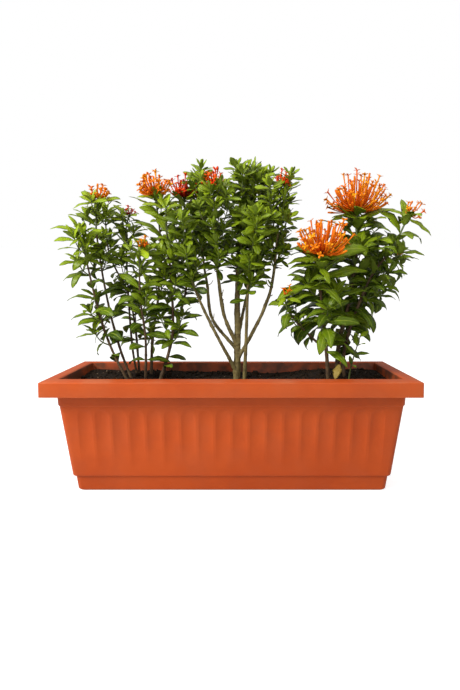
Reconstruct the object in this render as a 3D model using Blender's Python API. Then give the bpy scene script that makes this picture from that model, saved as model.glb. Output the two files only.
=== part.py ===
"""Planted window box: a moulded plastic trough with fluted walls, potting soil and three ixora shrubs.

Run it with blender --background --python part.py. The frame is metres with +Z up. The origin is the middle
of the trough's underside, +X runs along the trough's length and +Y towards its back.
Every node is one closed solid: the trough, the soil, each woody stem, each leafy shoot with its leaves,
and each flower head. Pieces that touch keep a gap of about GAP.
"""

import math
import random

import bmesh
import bpy
from mathutils import Matrix, Vector
from mathutils.bvhtree import BVHTree

MM = 0.001
GAP = 0.35 * MM
SMOOTH_ANGLE = math.radians(35)
SQUARE = ((-1, -1), (1, -1), (1, 1), (-1, 1))

# Trough: driving sizes.
LENGTH = 600 * MM
DEPTH = 210 * MM
HEIGHT = 195.3 * MM
RIM_DROP = 25.8 * MM
RIM_FLARE = 0.6 * MM
RIM_WIDTH = 24.0 * MM
RIM_WALL = 3.0 * MM
CHAMFER_WIDTH = 5.0 * MM
CHAMFER_RISE = 0.6 * MM
BAND_RISE = 1.3 * MM
WALL = 3.2 * MM
OVERHANG = 17.7 * MM
TAPER = 15.2 * MM
COLLAR_HEIGHT = 19.5 * MM
COLLAR_PROUD = 1.5 * MM
PLINTH_HEIGHT = 27 * MM
PLINTH_STEP = 3.6 * MM
FOOT_TAPER = 2.4 * MM
FOOT_CHAMFER = 2.6 * MM
FOOT_RING_WIDTH = 8.5 * MM
FLOOR_UNDERSIDE = 3 * MM
FLOOR_TOP = 6.5 * MM
PLINTH_INSET = OVERHANG + TAPER + PLINTH_STEP
FOOT_INSET = PLINTH_INSET + FOOT_TAPER
COLLAR_Z = HEIGHT - RIM_DROP - COLLAR_HEIGHT
CORNER_RADIUS = 9 * MM
RIM_CORNER_RADIUS = 2 * MM
CORNER_STEPS = 3

# Flutes: shallow scoops with round heads, deepest at the head and fading out downwards.
FLUTE_PITCH = 27.9 * MM
FLUTE_HALF_WIDTH = 11.9 * MM
FLUTE_DEPTH = 1.8 * MM
FLUTE_SPREAD = 1.12
FLUTE_HEAD_Z = 144.5 * MM
FLUTE_FOOT_Z = 36 * MM
FRONT_FLUTES = 18
END_FLUTES = 4
FLUTE_ARC_STEPS = 3
CUTTER_PROUD = 4 * MM

# Underside.
HOLE_RADIUS = 5 * MM
HOLE_SIDES = 12
HOLE_XS = (-195 * MM, -65 * MM, 65 * MM, 195 * MM)
PAD_XS = (-130 * MM, 0.0, 130 * MM)
PAD_SIZE = (14 * MM, 90 * MM)

# Soil.
SOIL_LEVEL = 177 * MM
SOIL_COLUMNS = 26
SOIL_ROWS = 8
SOIL_RIPPLE = 0.9 * MM
END_CROWDING = 0.82
MOUNDS = (
    # x, y, spread, height above the level
    (-150, 15, 62, 7),
    (8, 10, 48, 4),
    (190, 20, 75, 9),
    (-262, 70, 45, 5),
    (262, 66, 42, 3),
    (95, -50, 70, -5),
    (-80, -45, 60, -5),
    (70, 60, 40, -4),
)

# Plants. A stem's points are in millimetres, from its foot in the soil, or from its fork, to its tip.
STEM_SIDES = 6
SOCKET_TOP_Z = 198 * MM
NODE_HEIGHT = 2.6 * MM
AXIL_HEIGHT = 3.2 * MM
FOOT_CLEARANCE = 0.4 * MM
TWIG_RADIUS = 1.2 * MM


class Plant:
    """What the stems of one shrub share: their bark, and their leaves' sizes and spacing in metres."""

    def __init__(self, bark, leaf_length, leaf_width, internode, droop, twig_length):
        self.bark = bark
        self.leaf_length = leaf_length
        self.leaf_width = leaf_width
        self.internode = internode
        self.droop = droop
        self.twig_length = twig_length


PLANTS = {
    "left": Plant("cane_bark", 46 * MM, 14 * MM, 27 * MM, 0.22, 34 * MM),
    "centre": Plant("trunk_bark", 42 * MM, 14 * MM, 26 * MM, 0.10, 48 * MM),
    "right": Plant("cane_bark", 60 * MM, 20 * MM, 31 * MM, 0.32, 42 * MM),
}

# name, foot radius and tip radius in millimetres, share of the length that is bare wood, points
STEMS = (
    (
        "left_1", 2.4, 1.3, 0.42,
        ((-164, -30, 150), (-206, -31, 240), (-228, -32, 320), (-243, -34, 400), (-250, -35, 436)),
    ),
    (
        "left_2", 2.4, 1.3, 0.50,
        ((-166, -10, 150), (-198, -9, 240), (-220, -5, 340), (-232, -2, 440), (-227, 0, 488)),
    ),
    (
        "left_3", 2.2, 1.3, 0.46,
        ((-166, 10, 150), (-181, 18, 230), (-188, 25, 350), (-190, 33, 440), (-184, 40, 470)),
    ),
    (
        "left_4", 2.4, 1.3, 0.40,
        ((-170, 24, 150), (-178, 30, 270), (-193, 36, 335), (-224, 43, 400), (-232, 50, 478)),
    ),
    (
        "left_5", 2.6, 1.3, 0.36,
        ((-152, -20, 150), (-146, -33, 250), (-150, -46, 320), (-147, -58, 380), (-141, -68, 404)),
    ),
    (
        "left_6", 3.0, 1.5, 0.44,
        ((-149, 12, 150), (-144, 16, 250), (-133, 18, 320), (-126, 14, 424), (-131, 4, 496)),
    ),
    (
        "left_7", 3.2, 1.5, 0.34,
        ((-136, -15, 150), (-104, -21, 252), (-101, -28, 340), (-106, -34, 420), (-106, -40, 470)),
    ),
    (
        "left_8", 2.6, 1.4, 0.46,
        ((-136, 28, 150), (-114, 36, 240), (-86, 44, 336), (-80, 52, 428), (-86, 60, 498)),
    ),
    (
        "centre_main", 7.0, 1.8, 0.56,
        ((6, 0, 150), (9, 0, 240), (9, 0, 335), (14, 0, 440), (24, 0, 535)),
    ),
    (
        "centre_1", 3.2, 1.5, 0.50,
        ((6, -2, 195), (-24, -20, 254), (-55, -32, 321), (-70, -42, 372), (-78, -50, 440)),
    ),
    (
        "centre_2", 3.0, 1.5, 0.42,
        ((7, 2, 232), (-36, 12, 285), (-45, 20, 345), (-53, 30, 400), (-57, 40, 520)),
    ),
    (
        "centre_3", 3.6, 1.5, 0.40,
        ((8, -3, 240), (-13, -12, 290), (-22, -24, 349), (-26, -38, 400), (-28, -54, 494)),
    ),
    (
        "centre_4", 2.8, 1.5, 0.44,
        ((9, 4, 245), (22, 20, 312), (32, 32, 350), (42, 44, 426), (52, 54, 530)),
    ),
    (
        "centre_5", 3.4, 1.5, 0.42,
        ((8, -1, 212), (35, -9, 262), (55, -17, 305), (70, -24, 362), (88, -32, 490)),
    ),
    (
        "centre_6", 3.6, 1.5, 0.46,
        ((20, -2, 150), (24, -16, 250), (27, -34, 340), (34, -50, 400), (42, -62, 455)),
    ),
    (
        "right_1", 3.8, 1.6, 0.46,
        ((170, -20, 150), (159, -32, 244), (146, -46, 330), (143, -56, 376), (145, -62, 392)),
    ),
    (
        "right_2", 4.6, 1.7, 0.34,
        ((189, 8, 150), (190, 10, 238), (206, 10, 314), (216, 12, 400), (217, 18, 470)),
    ),
    (
        "right_3", 3.2, 1.5, 0.34,
        ((201, -4, 150), (198, -5, 237), (234, -10, 350), (271, -15, 407), (294, -20, 458)),
    ),
    (
        "right_4", 2.2, 1.3, 0.24,
        ((161, -30, 234), (133, -38, 258), (100, -46, 292), (88, -54, 314), (89, -60, 328)),
    ),
    (
        "right_5", 3.0, 1.5, 0.36,
        ((200, 26, 150), (209, 38, 260), (252, 46, 340), (284, 52, 384), (304, 58, 398)),
    ),
)
FORKS = {
    "centre_1": "centre_main",
    "centre_2": "centre_main",
    "centre_3": "centre_main",
    "centre_4": "centre_main",
    "centre_5": "centre_main",
    "right_4": "right_1",
}

# stem under the head, petals, radius and height above its core's centre in millimetres, subdivisions
FLOWERS = (
    ("left_2", "petal_orange", 18, 32, 1),
    ("left_3", "petal_red", 11, 20, 1),
    ("left_5", "petal_orange", 9, 18, 1),
    ("left_6", "petal_orange", 28, 38, 2),
    ("left_8", "petal_red", 26, 40, 2),
    ("centre_3", "petal_red", 14, 24, 1),
    ("centre_5", "petal_red", 10, 22, 1),
    ("right_1", "petal_orange", 48, 60, 2),
    ("right_2", "petal_orange", 56, 64, 2),
    ("right_3", "petal_orange", 16, 28, 1),
    ("right_4", "petal_orange", 7, 16, 1),
    ("right_5", "petal_orange", 9, 18, 1),
)
CORE_SHARE = 0.26
LOWEST_FLORET = 0.1

# A fallen leaf on the soil: centre, length, width, thickness and turn about +Z in degrees.
FALLEN_LEAF = ((178 * MM, -42 * MM), 40 * MM, 13 * MM, 1.2 * MM, 35)

MATERIALS = {
    "terracotta_plastic": ((0.54, 0.115, 0.035), 0.42),
    "potting_soil": ((0.018, 0.012, 0.008), 0.95),
    "trunk_bark": ((0.19, 0.15, 0.08), 0.85),
    "cane_bark": ((0.075, 0.042, 0.022), 0.75),
    "leaf_green": ((0.065, 0.150, 0.022), 0.45),
    "petal_orange": ((0.85, 0.16, 0.015), 0.5),
    "petal_red": ((0.62, 0.045, 0.012), 0.5),
    "dry_leaf": ((0.45, 0.30, 0.05), 0.6),
}


# ---------------------------------------------------------------- scene helpers


def clear_scene():
    for obj in list(bpy.data.objects):
        bpy.data.objects.remove(obj, do_unlink=True)


def material(name):
    """The named finish, made once."""
    found = bpy.data.materials.get(name)
    if found:
        return found
    colour, roughness = MATERIALS[name]
    made = bpy.data.materials.new(name)
    made.use_nodes = True
    shader = made.node_tree.nodes["Principled BSDF"]
    shader.inputs["Base Color"].default_value = (*colour, 1.0)
    shader.inputs["Roughness"].default_value = roughness
    shader.inputs["Metallic"].default_value = 0.0
    return made


def to_object(mesh, name, finish):
    """Turns a bmesh into a named object with its finish."""
    data = bpy.data.meshes.new(name)
    mesh.to_mesh(data)
    mesh.free()
    data.shade_smooth()
    data.set_sharp_from_angle(angle=SMOOTH_ANGLE)
    if finish:
        data.materials.append(material(finish))
    data.shade_smooth()
    data.set_sharp_from_angle(angle=SMOOTH_ANGLE)
    obj = bpy.data.objects.new(name, data)
    bpy.context.scene.collection.objects.link(obj)
    return obj


def cut(obj, cutter, operation="DIFFERENCE"):
    """Cuts or joins with a helper that isn't a piece of its own."""
    cutter.hide_render = True
    cutter.display_type = "WIRE"
    boolean = obj.modifiers.new(cutter.name, "BOOLEAN")
    boolean.operation = operation
    boolean.object = cutter


def loft(mesh, rings):
    """Skins rings of equal counts, each counter-clockwise seen from its far side, and closes both ends."""
    loops = [[mesh.verts.new(point) for point in ring] for ring in rings]
    for low, high in zip(loops, loops[1:]):
        for i in range(len(low)):
            j = (i + 1) % len(low)
            mesh.faces.new((low[i], low[j], high[j], high[i]))
    mesh.faces.new(list(reversed(loops[0])))
    mesh.faces.new(loops[-1])


# ---------------------------------------------------------------- trough


def rounded_rectangle(inset, z, radius):
    """A level outline, inset from the rim's outer edge, counter-clockwise from above."""
    half_x = LENGTH / 2 - inset - radius
    half_y = DEPTH / 2 - inset - radius
    points = []
    for quarter, (sign_x, sign_y) in enumerate(((1, 1), (-1, 1), (-1, -1), (1, -1))):
        for step in range(CORNER_STEPS + 1):
            angle = (quarter + step / CORNER_STEPS) * math.pi / 2
            x = sign_x * half_x + radius * math.cos(angle)
            y = sign_y * half_y + radius * math.sin(angle)
            points.append(Vector((x, y, z)))
    return points


def wall_inset(z):
    """Inset of the body's outer face: it leans out from the plinth up to the collar."""
    share = (z - PLINTH_HEIGHT) / (COLLAR_Z - PLINTH_HEIGHT)
    return OVERHANG + TAPER - share * (TAPER - 2 * COLLAR_PROUD)


def trough_profile():
    """(inset, height, corner radius) from the underside, up the outside, over the rim and down the inside."""
    band_z = HEIGHT - BAND_RISE
    shoulder_z = band_z - CHAMFER_RISE
    rim_under = shoulder_z - RIM_WALL
    skirt_z = HEIGHT - RIM_DROP
    edge = 1.5 * MM
    body = CORNER_RADIUS
    rim = RIM_CORNER_RADIUS
    return (
        (FOOT_INSET + FOOT_RING_WIDTH + 1 * MM, FLOOR_UNDERSIDE, body),
        (FOOT_INSET + FOOT_RING_WIDTH, 0.0, body),
        (FOOT_INSET + FOOT_CHAMFER, 0.0, body),
        (FOOT_INSET, FOOT_CHAMFER, body),
        (PLINTH_INSET, PLINTH_HEIGHT - edge / 5, body),
        (OVERHANG + TAPER + edge, PLINTH_HEIGHT, body),
        (OVERHANG + TAPER, PLINTH_HEIGHT + edge, body),
        (wall_inset(COLLAR_Z), COLLAR_Z, body),
        (wall_inset(COLLAR_Z) - COLLAR_PROUD, COLLAR_Z + COLLAR_PROUD, body),
        (OVERHANG, rim_under, body),
        (RIM_WALL, rim_under, rim),
        (RIM_WALL - RIM_FLARE, skirt_z, rim),
        (-RIM_FLARE, skirt_z, rim),
        (0.0, shoulder_z - edge / 2, rim),
        (edge / 2, shoulder_z, rim),
        (CHAMFER_WIDTH, band_z, rim),
        (RIM_WIDTH - 2 * edge, HEIGHT, rim),
        (RIM_WIDTH, HEIGHT - edge, rim),
        (wall_inset(PLINTH_HEIGHT) + WALL, PLINTH_HEIGHT + edge, body),
        (PLINTH_INSET + WALL, PLINTH_HEIGHT - 2 * edge, body),
        (FOOT_INSET + WALL, FLOOR_TOP, body),
    )


def flute_section(z, width_share, depth_share, sink):
    """(offset along the wall, inset) points across a flute: the scoop, then the cutter's outer side."""
    half = FLUTE_HALF_WIDTH * width_share * FLUTE_SPREAD
    points = []
    for step in range(FLUTE_ARC_STEPS + 1):
        sideways = 1 - 2 * step / FLUTE_ARC_STEPS
        scoop = FLUTE_DEPTH * depth_share * (1 - (FLUTE_SPREAD * sideways) ** 2) - sink
        points.append((sideways * half, wall_inset(z) + scoop))
    points.append((-half, wall_inset(z) - CUTTER_PROUD))
    points.append((half, wall_inset(z) - CUTTER_PROUD))
    return points


def flute_sections():
    """(height, points) of a flute cutter from its foot to the top of its round head."""
    sections = [(FLUTE_FOOT_Z, 1.0, 0.0, 0.1 * MM)]
    for angle in (0, 40, 75):
        lean = math.radians(angle)
        z = FLUTE_HEAD_Z - FLUTE_HALF_WIDTH * (1 - math.sin(lean))
        sections.append((z, math.cos(lean), math.cos(lean) ** 0.5, 0.0))
    return [(z, flute_section(z, width, depth, sink)) for z, width, depth, sink in sections]


def flute_places():
    """(centre along the wall, wall's outward direction) of every flute, on all four walls."""
    places = []
    for count, outward in (
        (FRONT_FLUTES, Vector((0, -1, 0))),
        (END_FLUTES, Vector((1, 0, 0))),
        (FRONT_FLUTES, Vector((0, 1, 0))),
        (END_FLUTES, Vector((-1, 0, 0))),
    ):
        for i in range(count):
            places.append(((i - (count - 1) / 2) * FLUTE_PITCH, outward))
    return places


def level_ring(outline, z):
    return [Vector((x, y, z)) for x, y in outline]


def flute_cutter(mesh, centre, outward):
    """A flute's closed cutter, lofted upwards through its sections."""
    along = Vector((0, 0, 1)).cross(outward)
    half = DEPTH / 2 if outward.y else LENGTH / 2
    rings = []
    for z, points in flute_sections():
        middle = along * centre + outward * half + Vector((0, 0, z))
        rings.append([middle + along * offset - outward * inset for offset, inset in points])
    loft(mesh, rings)


def trough_cutter():
    """Every flute and drainage hole as closed bodies in one cutter."""
    mesh = bmesh.new()
    for centre, outward in flute_places():
        flute_cutter(mesh, centre, outward)
    turns = [2 * math.pi * k / HOLE_SIDES for k in range(HOLE_SIDES)]
    for x in HOLE_XS:
        circle = [(x + HOLE_RADIUS * math.cos(a), HOLE_RADIUS * math.sin(a)) for a in turns]
        loft(mesh, [level_ring(circle, -FLOOR_UNDERSIDE), level_ring(circle, FLOOR_TOP + FLOOR_UNDERSIDE)])
    bmesh.ops.recalc_face_normals(mesh, faces=mesh.faces)
    return to_object(mesh, "trough_cutter", None)


def foot_pads():
    """Three level pads under the floor, flush with the foot ring and sunk into the floor."""
    mesh = bmesh.new()
    half_x, half_y = (side / 2 for side in PAD_SIZE)
    for x in PAD_XS:
        outline = [(x + a * half_x, b * half_y) for a, b in SQUARE]
        loft(mesh, [level_ring(outline, 0.0), level_ring(outline, 1.5 * FLOOR_UNDERSIDE)])
    return to_object(mesh, "foot_pads", None)


def build_trough():
    mesh = bmesh.new()
    loft(mesh, [rounded_rectangle(inset, z, radius) for inset, z, radius in trough_profile()])
    trough = to_object(mesh, "planter_box", "terracotta_plastic")
    cut(trough, foot_pads(), "UNION")
    cut(trough, trough_cutter())


# ---------------------------------------------------------------- soil


def soil_height(x, y):
    """Height of the soil's surface at a point, in metres."""
    height = SOIL_LEVEL
    for mound_x, mound_y, spread, rise in MOUNDS:
        apart = math.hypot(x / MM - mound_x, y / MM - mound_y) / spread
        height += rise * MM * math.exp(-apart * apart)
    ripple = math.sin(x / MM * 0.11 + 1.3) * math.sin(y / MM * 0.17 + x / MM * 0.05)
    return height + SOIL_RIPPLE * ripple


def soil_outline(inset, radius):
    """A grid of (x, y) columns that fills a rounded rectangle, the columns closer towards its ends."""
    half_x = LENGTH / 2 - inset
    half_y = DEPTH / 2 - inset
    end_angle = END_CROWDING * math.pi / 2
    columns = []
    for i in range(SOIL_COLUMNS + 1):
        x = half_x * math.sin((2 * i / SOIL_COLUMNS - 1) * end_angle) / math.sin(end_angle)
        past = max(0.0, abs(x) - (half_x - radius))
        reach = half_y - radius + math.sqrt(max(0.0, radius * radius - past * past))
        columns.append([(x, reach * (2 * j / SOIL_ROWS - 1)) for j in range(SOIL_ROWS + 1)])
    return columns


def border(grid):
    """The outer points of a grid of columns, counter-clockwise from above."""
    front = [column[0] for column in grid]
    right = grid[-1][1:]
    back = [column[-1] for column in reversed(grid[:-1])]
    left = list(reversed(grid[0][1:-1]))
    return front + right + back + left


def build_soil(sockets):
    """The soil fills the trough. Its top is a mounded grid, and each planted stem stands in a socket."""
    mesh = bmesh.new()
    wall_foot = wall_inset(PLINTH_HEIGHT) + WALL
    levels = (
        (FOOT_INSET + WALL + GAP, FLOOR_TOP + GAP),
        (PLINTH_INSET + WALL + GAP, PLINTH_HEIGHT - 3 * MM),
        (wall_foot + 1.5 * GAP, PLINTH_HEIGHT + 2 * MM),
    )
    inner_top = RIM_WIDTH + (wall_foot - RIM_WIDTH) / 10 + 2 * GAP
    loops = []
    for inset, z in levels:
        outline = border(soil_outline(inset, CORNER_RADIUS))
        loops.append([mesh.verts.new((x, y, z)) for x, y in outline])
    grid = [
        [mesh.verts.new((x, y, soil_height(x, y))) for x, y in column]
        for column in soil_outline(inner_top, CORNER_RADIUS)
    ]
    loops.append(border(grid))
    mesh.faces.new(list(reversed(loops[0])))
    for low, high in zip(loops, loops[1:]):
        for i in range(len(low)):
            j = (i + 1) % len(low)
            mesh.faces.new((low[i], low[j], high[j], high[i]))
    for left, right in zip(grid, grid[1:]):
        for j in range(SOIL_ROWS):
            mesh.faces.new((left[j], right[j], right[j + 1], left[j + 1]))
    soil = to_object(mesh, "potting_soil", "potting_soil")
    cut(soil, sockets)


# ---------------------------------------------------------------- curves and tubes


class Path:
    """A smooth curve through points, read by length."""

    SAMPLES = 12

    def __init__(self, points):
        points = [Vector(p) for p in points]
        guide = [points[0] * 2 - points[1], *points, points[-1] * 2 - points[-2]]
        self.points = [points[0]]
        for a, b, c, d in zip(guide, guide[1:], guide[2:], guide[3:]):
            for step in range(1, self.SAMPLES + 1):
                t = step / self.SAMPLES
                bend = (2 * a - 5 * b + 4 * c - d) * t**2 + (3 * b - a - 3 * c + d) * t**3
                self.points.append(0.5 * (2 * b + (c - a) * t + bend))
        self.lengths = [0.0]
        for a, b in zip(self.points, self.points[1:]):
            self.lengths.append(self.lengths[-1] + (b - a).length)
        self.length = self.lengths[-1]

    def at(self, length):
        """(point, direction) at a length from the start; past either end it runs on straight."""
        i = 1
        while i < len(self.lengths) - 1 and self.lengths[i] < length:
            i += 1
        a, b = self.points[i - 1], self.points[i]
        share = (length - self.lengths[i - 1]) / (self.lengths[i] - self.lengths[i - 1])
        return a + (b - a) * share, (b - a).normalized()


def across(direction, hint):
    """The unit vector nearest to hint that is square to direction."""
    return (hint - direction * hint.dot(direction)).normalized()


def tube(mesh, path, lengths, radius, sides):
    """A closed round tube with a ring at each length. radius is a function of the length."""
    hint = Vector((1, 0, 0))
    loops = []
    for length in lengths:
        centre, direction = path.at(length)
        hint = across(direction, hint)
        other = direction.cross(hint)
        turns = (2 * math.pi * k / sides for k in range(sides))
        loops.append([centre + (hint * math.cos(a) + other * math.sin(a)) * radius(length) for a in turns])
    loft(mesh, loops)


def steps(start, stop, count):
    """Lengths from start to stop in equal steps."""
    return [start + (stop - start) * i / count for i in range(count + 1)]


# ---------------------------------------------------------------- what is in the way


class Obstacles:
    """The shapes placed so far, against which each new twig and leaf is tested."""

    def __init__(self):
        self.placed = []

    @staticmethod
    def shape(points, faces):
        low = Vector([min(p[k] for p in points) for k in range(3)])
        high = Vector([max(p[k] for p in points) for k in range(3)])
        return low, high, BVHTree.FromPolygons(points, faces)

    @staticmethod
    def shape_of(mesh):
        mesh.verts.index_update()
        points = [v.co.copy() for v in mesh.verts]
        return Obstacles.shape(points, [[v.index for v in f.verts] for f in mesh.faces])

    def add(self, shape, owner=None):
        self.placed.append((*shape, owner))

    def hit(self, shape, owner=None):
        """Whether a shape crosses a placed one, other than the piece that it grows on."""
        low, high, tree = shape
        for other_low, other_high, other_tree, other_owner in self.placed:
            if owner and owner == other_owner:
                continue
            if low.x > other_high.x or low.y > other_high.y or low.z > other_high.z:
                continue
            if high.x < other_low.x or high.y < other_low.y or high.z < other_low.z:
                continue
            if tree.overlap(other_tree):
                return True
        return False


OBSTACLES = Obstacles()


# ---------------------------------------------------------------- woody stems


class Stem:
    """One cane or branch: bare wood from its foot or its fork, and a leafy shoot from there to its tip."""

    def __init__(self, name, foot, tip, bare_share, points):
        self.name = name
        self.foot, self.tip = foot * MM, tip * MM
        self.path = Path([Vector(p) * MM for p in points])
        self.bare = self.path.length * bare_share
        self.rings = steps(0.0, self.bare, 2 * (len(points) - 1))

    def radius(self, length):
        return self.foot + (self.tip - self.foot) * length / self.path.length

    def wood(self):
        mesh = bmesh.new()
        tube(mesh, self.path, self.rings, self.radius, STEM_SIDES)
        OBSTACLES.add(Obstacles.shape_of(mesh))
        return mesh

    def add_socket(self, mesh):
        """The room that the stem takes in the soil, with the gap round it."""
        inside = [s for s in self.rings if self.path.at(s)[0].z < SOCKET_TOP_Z]
        above = self.rings[len(inside)]
        tube(mesh, self.path, [-GAP, *inside, above], lambda s: self.radius(s) + 1.3 * GAP, STEM_SIDES)


def build_wood():
    """Every stem's bare wood. A branch is joined to the stem that it forks from."""
    stems = {}
    nodes = {}
    sockets = bmesh.new()
    for entry in STEMS:
        stem = Stem(*entry)
        stems[stem.name] = stem
        if stem.name in FORKS:
            cut(nodes[FORKS[stem.name]], to_object(stem.wood(), stem.name + "_fork", None), "UNION")
            continue
        bark = PLANTS[stem.name.split("_")[0]].bark
        nodes[stem.name] = to_object(stem.wood(), stem.name.replace("_", "_stem_"), bark)
        stem.add_socket(sockets)
    return stems, to_object(sockets, "stem_sockets", None)


# ---------------------------------------------------------------- leafy shoots


def corners(centre, half_a, half_b, signs=SQUARE):
    return [centre + half_a * a + half_b * b for a, b in signs]


def sides_between(mesh, old, new):
    return [mesh.faces.new((old[i], old[(i + 1) % 4], new[(i + 1) % 4], new[i])) for i in range(4)]


def signs_of(face, centre, axis_a, axis_b):
    """Which side of the centre each corner of a four-cornered face is on, in its own order."""
    spokes = [corner.co - centre for corner in face.verts]
    return [(math.copysign(1, s.dot(axis_a)), math.copysign(1, s.dot(axis_b))) for s in spokes]


class Leaf:
    """A leaf pulled out of a side face of a shoot: flat on top, with a keel below, and drooping."""

    def __init__(self, mesh, face, axis, outward, length, width, droop, owner):
        self.mesh, self.face, self.axis, self.outward, self.owner = mesh, face, axis, outward, owner
        self.length, self.width, self.droop = length, width, droop
        self.centre = face.calc_center_median()
        self.side = axis.cross(outward).normalized()

    def at(self, share, rise):
        """A point on the midrib, at a share of the length, for a leaf that rises at a slope."""
        lift = (self.outward + self.axis * rise).normalized()
        fall = self.length * self.droop * share * share
        return self.centre + lift * self.length * share - Vector((0, 0, fall))

    def outline(self, rise):
        """The left and right edge points and the tip."""
        middle = self.at(0.48, rise)
        half = self.side * self.width / 2
        return [middle - half, middle + half, self.at(1.0, rise)]

    def grow(self):
        """Pulls the leaf out at the first slope where it crosses nothing, or leaves it out."""
        signs = signs_of(self.face, self.centre, self.side, self.axis)
        order = [signs.index(s) for s in ((-1, 1), (1, 1), (1, -1), (-1, -1))]
        base = [self.face.verts[i] for i in order]
        for rise in (0.55, 0.25, 0.85):
            points = self.outline(rise)
            # Neighbouring leaves share an edge at the foot, so the tested shape is a little narrower there.
            clear = self.outward * FOOT_CLEARANCE
            foot = [corner.co.lerp(self.centre, 0.15) + clear for corner in base]
            shape = Obstacles.shape([*foot, *points], self.faces(range(7)))
            if not OBSTACLES.hit(shape, self.owner):
                break
        else:
            return
        OBSTACLES.add(shape)
        verts = base + [self.mesh.verts.new(p) for p in points]
        self.mesh.faces.remove(self.face)
        for face in self.faces(verts):
            self.mesh.faces.new(face)

    @staticmethod
    def faces(verts):
        """Faces from (upper left, upper right, lower right, lower left, left, right, tip)."""
        upper_left, upper_right, lower_right, lower_left, left, right, tip = verts
        return [
            (upper_left, upper_right, right, left),
            (left, right, tip),
            (upper_left, left, lower_left),
            (upper_right, lower_right, right),
            (lower_left, left, tip),
            (lower_left, tip, lower_right),
            (lower_right, tip, right),
        ]


class Shoot:
    """A green shoot: a square stem with pairs of leaves, each pair turned from the last, and side twigs."""

    def __init__(self, stem):
        self.stem = stem
        self.plant = PLANTS[stem.name.split("_")[0]]
        self.rng = random.Random(stem.name)
        self.mesh = bmesh.new()
        self.leaf_places = []
        self.twig_places = []
        self.build_core()

    def build_core(self):
        """The main stem, with a low ring at each leaf pair and one above it where twigs may grow."""
        path, start = self.stem.path, self.stem.bare + GAP
        centre, direction = path.at(start)
        turn = self.rng.uniform(0, math.pi)
        hint = across(direction, Vector((math.cos(turn), math.sin(turn), 0)))
        ring = self.ring(centre, direction, hint, self.stem.radius(start))
        self.mesh.faces.new(list(reversed(ring)))
        count = round((path.length - start) / self.plant.internode)
        pitch = (path.length - start) / count
        for i in range(count):
            last = i == count - 1
            length = start + pitch * (i + 0.75)
            centre, direction = path.at(length)
            hint = across(direction, hint)
            axis = direction.cross(hint) if i % 2 else hint
            radius = self.stem.radius(length)
            size = 0.8 if last else 1.0
            ring = self.grow_ring(ring, centre, direction, hint, radius)
            ring = self.grow_ring(ring, centre + direction * NODE_HEIGHT, direction, hint, radius)
            self.leaf_places += [(*place, size, self.stem.name) for place in self.places(axis, direction)]
            if i % 2 == 0 and not last:
                top = centre + direction * (NODE_HEIGHT + AXIL_HEIGHT)
                ring = self.grow_ring(ring, top, direction, hint, radius)
                self.twig_places += self.places(axis, direction)
        self.mesh.faces.new(ring)
        probe = bmesh.new()
        tube(probe, path, steps(start, path.length, 6), self.stem.radius, 4)
        OBSTACLES.add(Obstacles.shape_of(probe), self.stem.name)
        probe.free()

    def ring(self, centre, direction, hint, radius, signs=SQUARE):
        half = radius * math.sqrt(0.5)
        points = corners(centre, hint * half, direction.cross(hint) * half, signs)
        return [self.mesh.verts.new(point) for point in points]

    def grow_ring(self, ring, centre, direction, hint, radius, signs=SQUARE):
        """Adds a ring and the four side faces up to it, which self.newest then holds."""
        new = self.ring(centre, direction, hint, radius, signs)
        self.newest = sides_between(self.mesh, ring, new)
        return new

    def places(self, axis, direction):
        """(face, direction, outward) of the two newest side faces that look along or against an axis."""
        found = []
        for face in self.newest:
            face.normal_update()
            if abs(face.normal.dot(axis)) > 0.7:
                found.append((face, direction, face.normal.copy()))
        return found

    def add_twigs(self):
        """Twigs leave at a slant, turn upwards and carry a rosette of four leaves."""
        for face, direction, outward in self.twig_places:
            length = self.plant.twig_length * self.rng.uniform(0.7, 1.2)
            centre = face.calc_center_median()
            slant = (outward * 0.8 + direction).normalized()
            upward = (slant + Vector((0, 0, 0.8))).normalized()
            elbow = centre + slant * length * 0.5
            path = Path((centre, elbow, elbow + upward * length * 0.5))
            if OBSTACLES.hit(self.twig_shape(path, 0.2)):
                continue
            owner = f"{self.stem.name}_twig_{len(OBSTACLES.placed)}"
            OBSTACLES.add(self.twig_shape(path, 0.06), owner)
            self.build_twig(face, path, direction.cross(outward).normalized(), direction, owner)

    @staticmethod
    def twig_shape(path, first_share):
        probe = bmesh.new()
        tube(probe, path, steps(path.length * first_share, path.length, 3), lambda s: TWIG_RADIUS, 4)
        shape = Obstacles.shape_of(probe)
        probe.free()
        return shape

    def build_twig(self, face, path, side, direction, owner):
        signs = signs_of(face, face.calc_center_median(), side, direction)
        ring = list(face.verts)
        self.mesh.faces.remove(face)
        for mark in (0.5 * path.length, path.length - NODE_HEIGHT, path.length):
            centre, heading = path.at(mark)
            side = across(heading, side)
            ring = self.grow_ring(ring, centre, heading, side, TWIG_RADIUS, signs)
        for axis in (side, heading.cross(side)):
            self.leaf_places += [(*place, 0.85, owner) for place in self.places(axis, heading)]
        self.mesh.faces.new(ring)

    def add_leaves(self):
        for face, direction, outward, size, owner in self.leaf_places:
            length = self.plant.leaf_length * size * self.rng.uniform(0.85, 1.1)
            width = self.plant.leaf_width * size * self.rng.uniform(0.9, 1.08)
            droop = self.plant.droop * self.rng.uniform(0.6, 1.5)
            Leaf(self.mesh, face, direction, outward, length, width, droop, owner).grow()

    def finish(self):
        bmesh.ops.recalc_face_normals(self.mesh, faces=self.mesh.faces)
        return to_object(self.mesh, self.stem.name.replace("_", "_shoot_"), "leaf_green")


# ---------------------------------------------------------------- flowers and a fallen leaf


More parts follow.
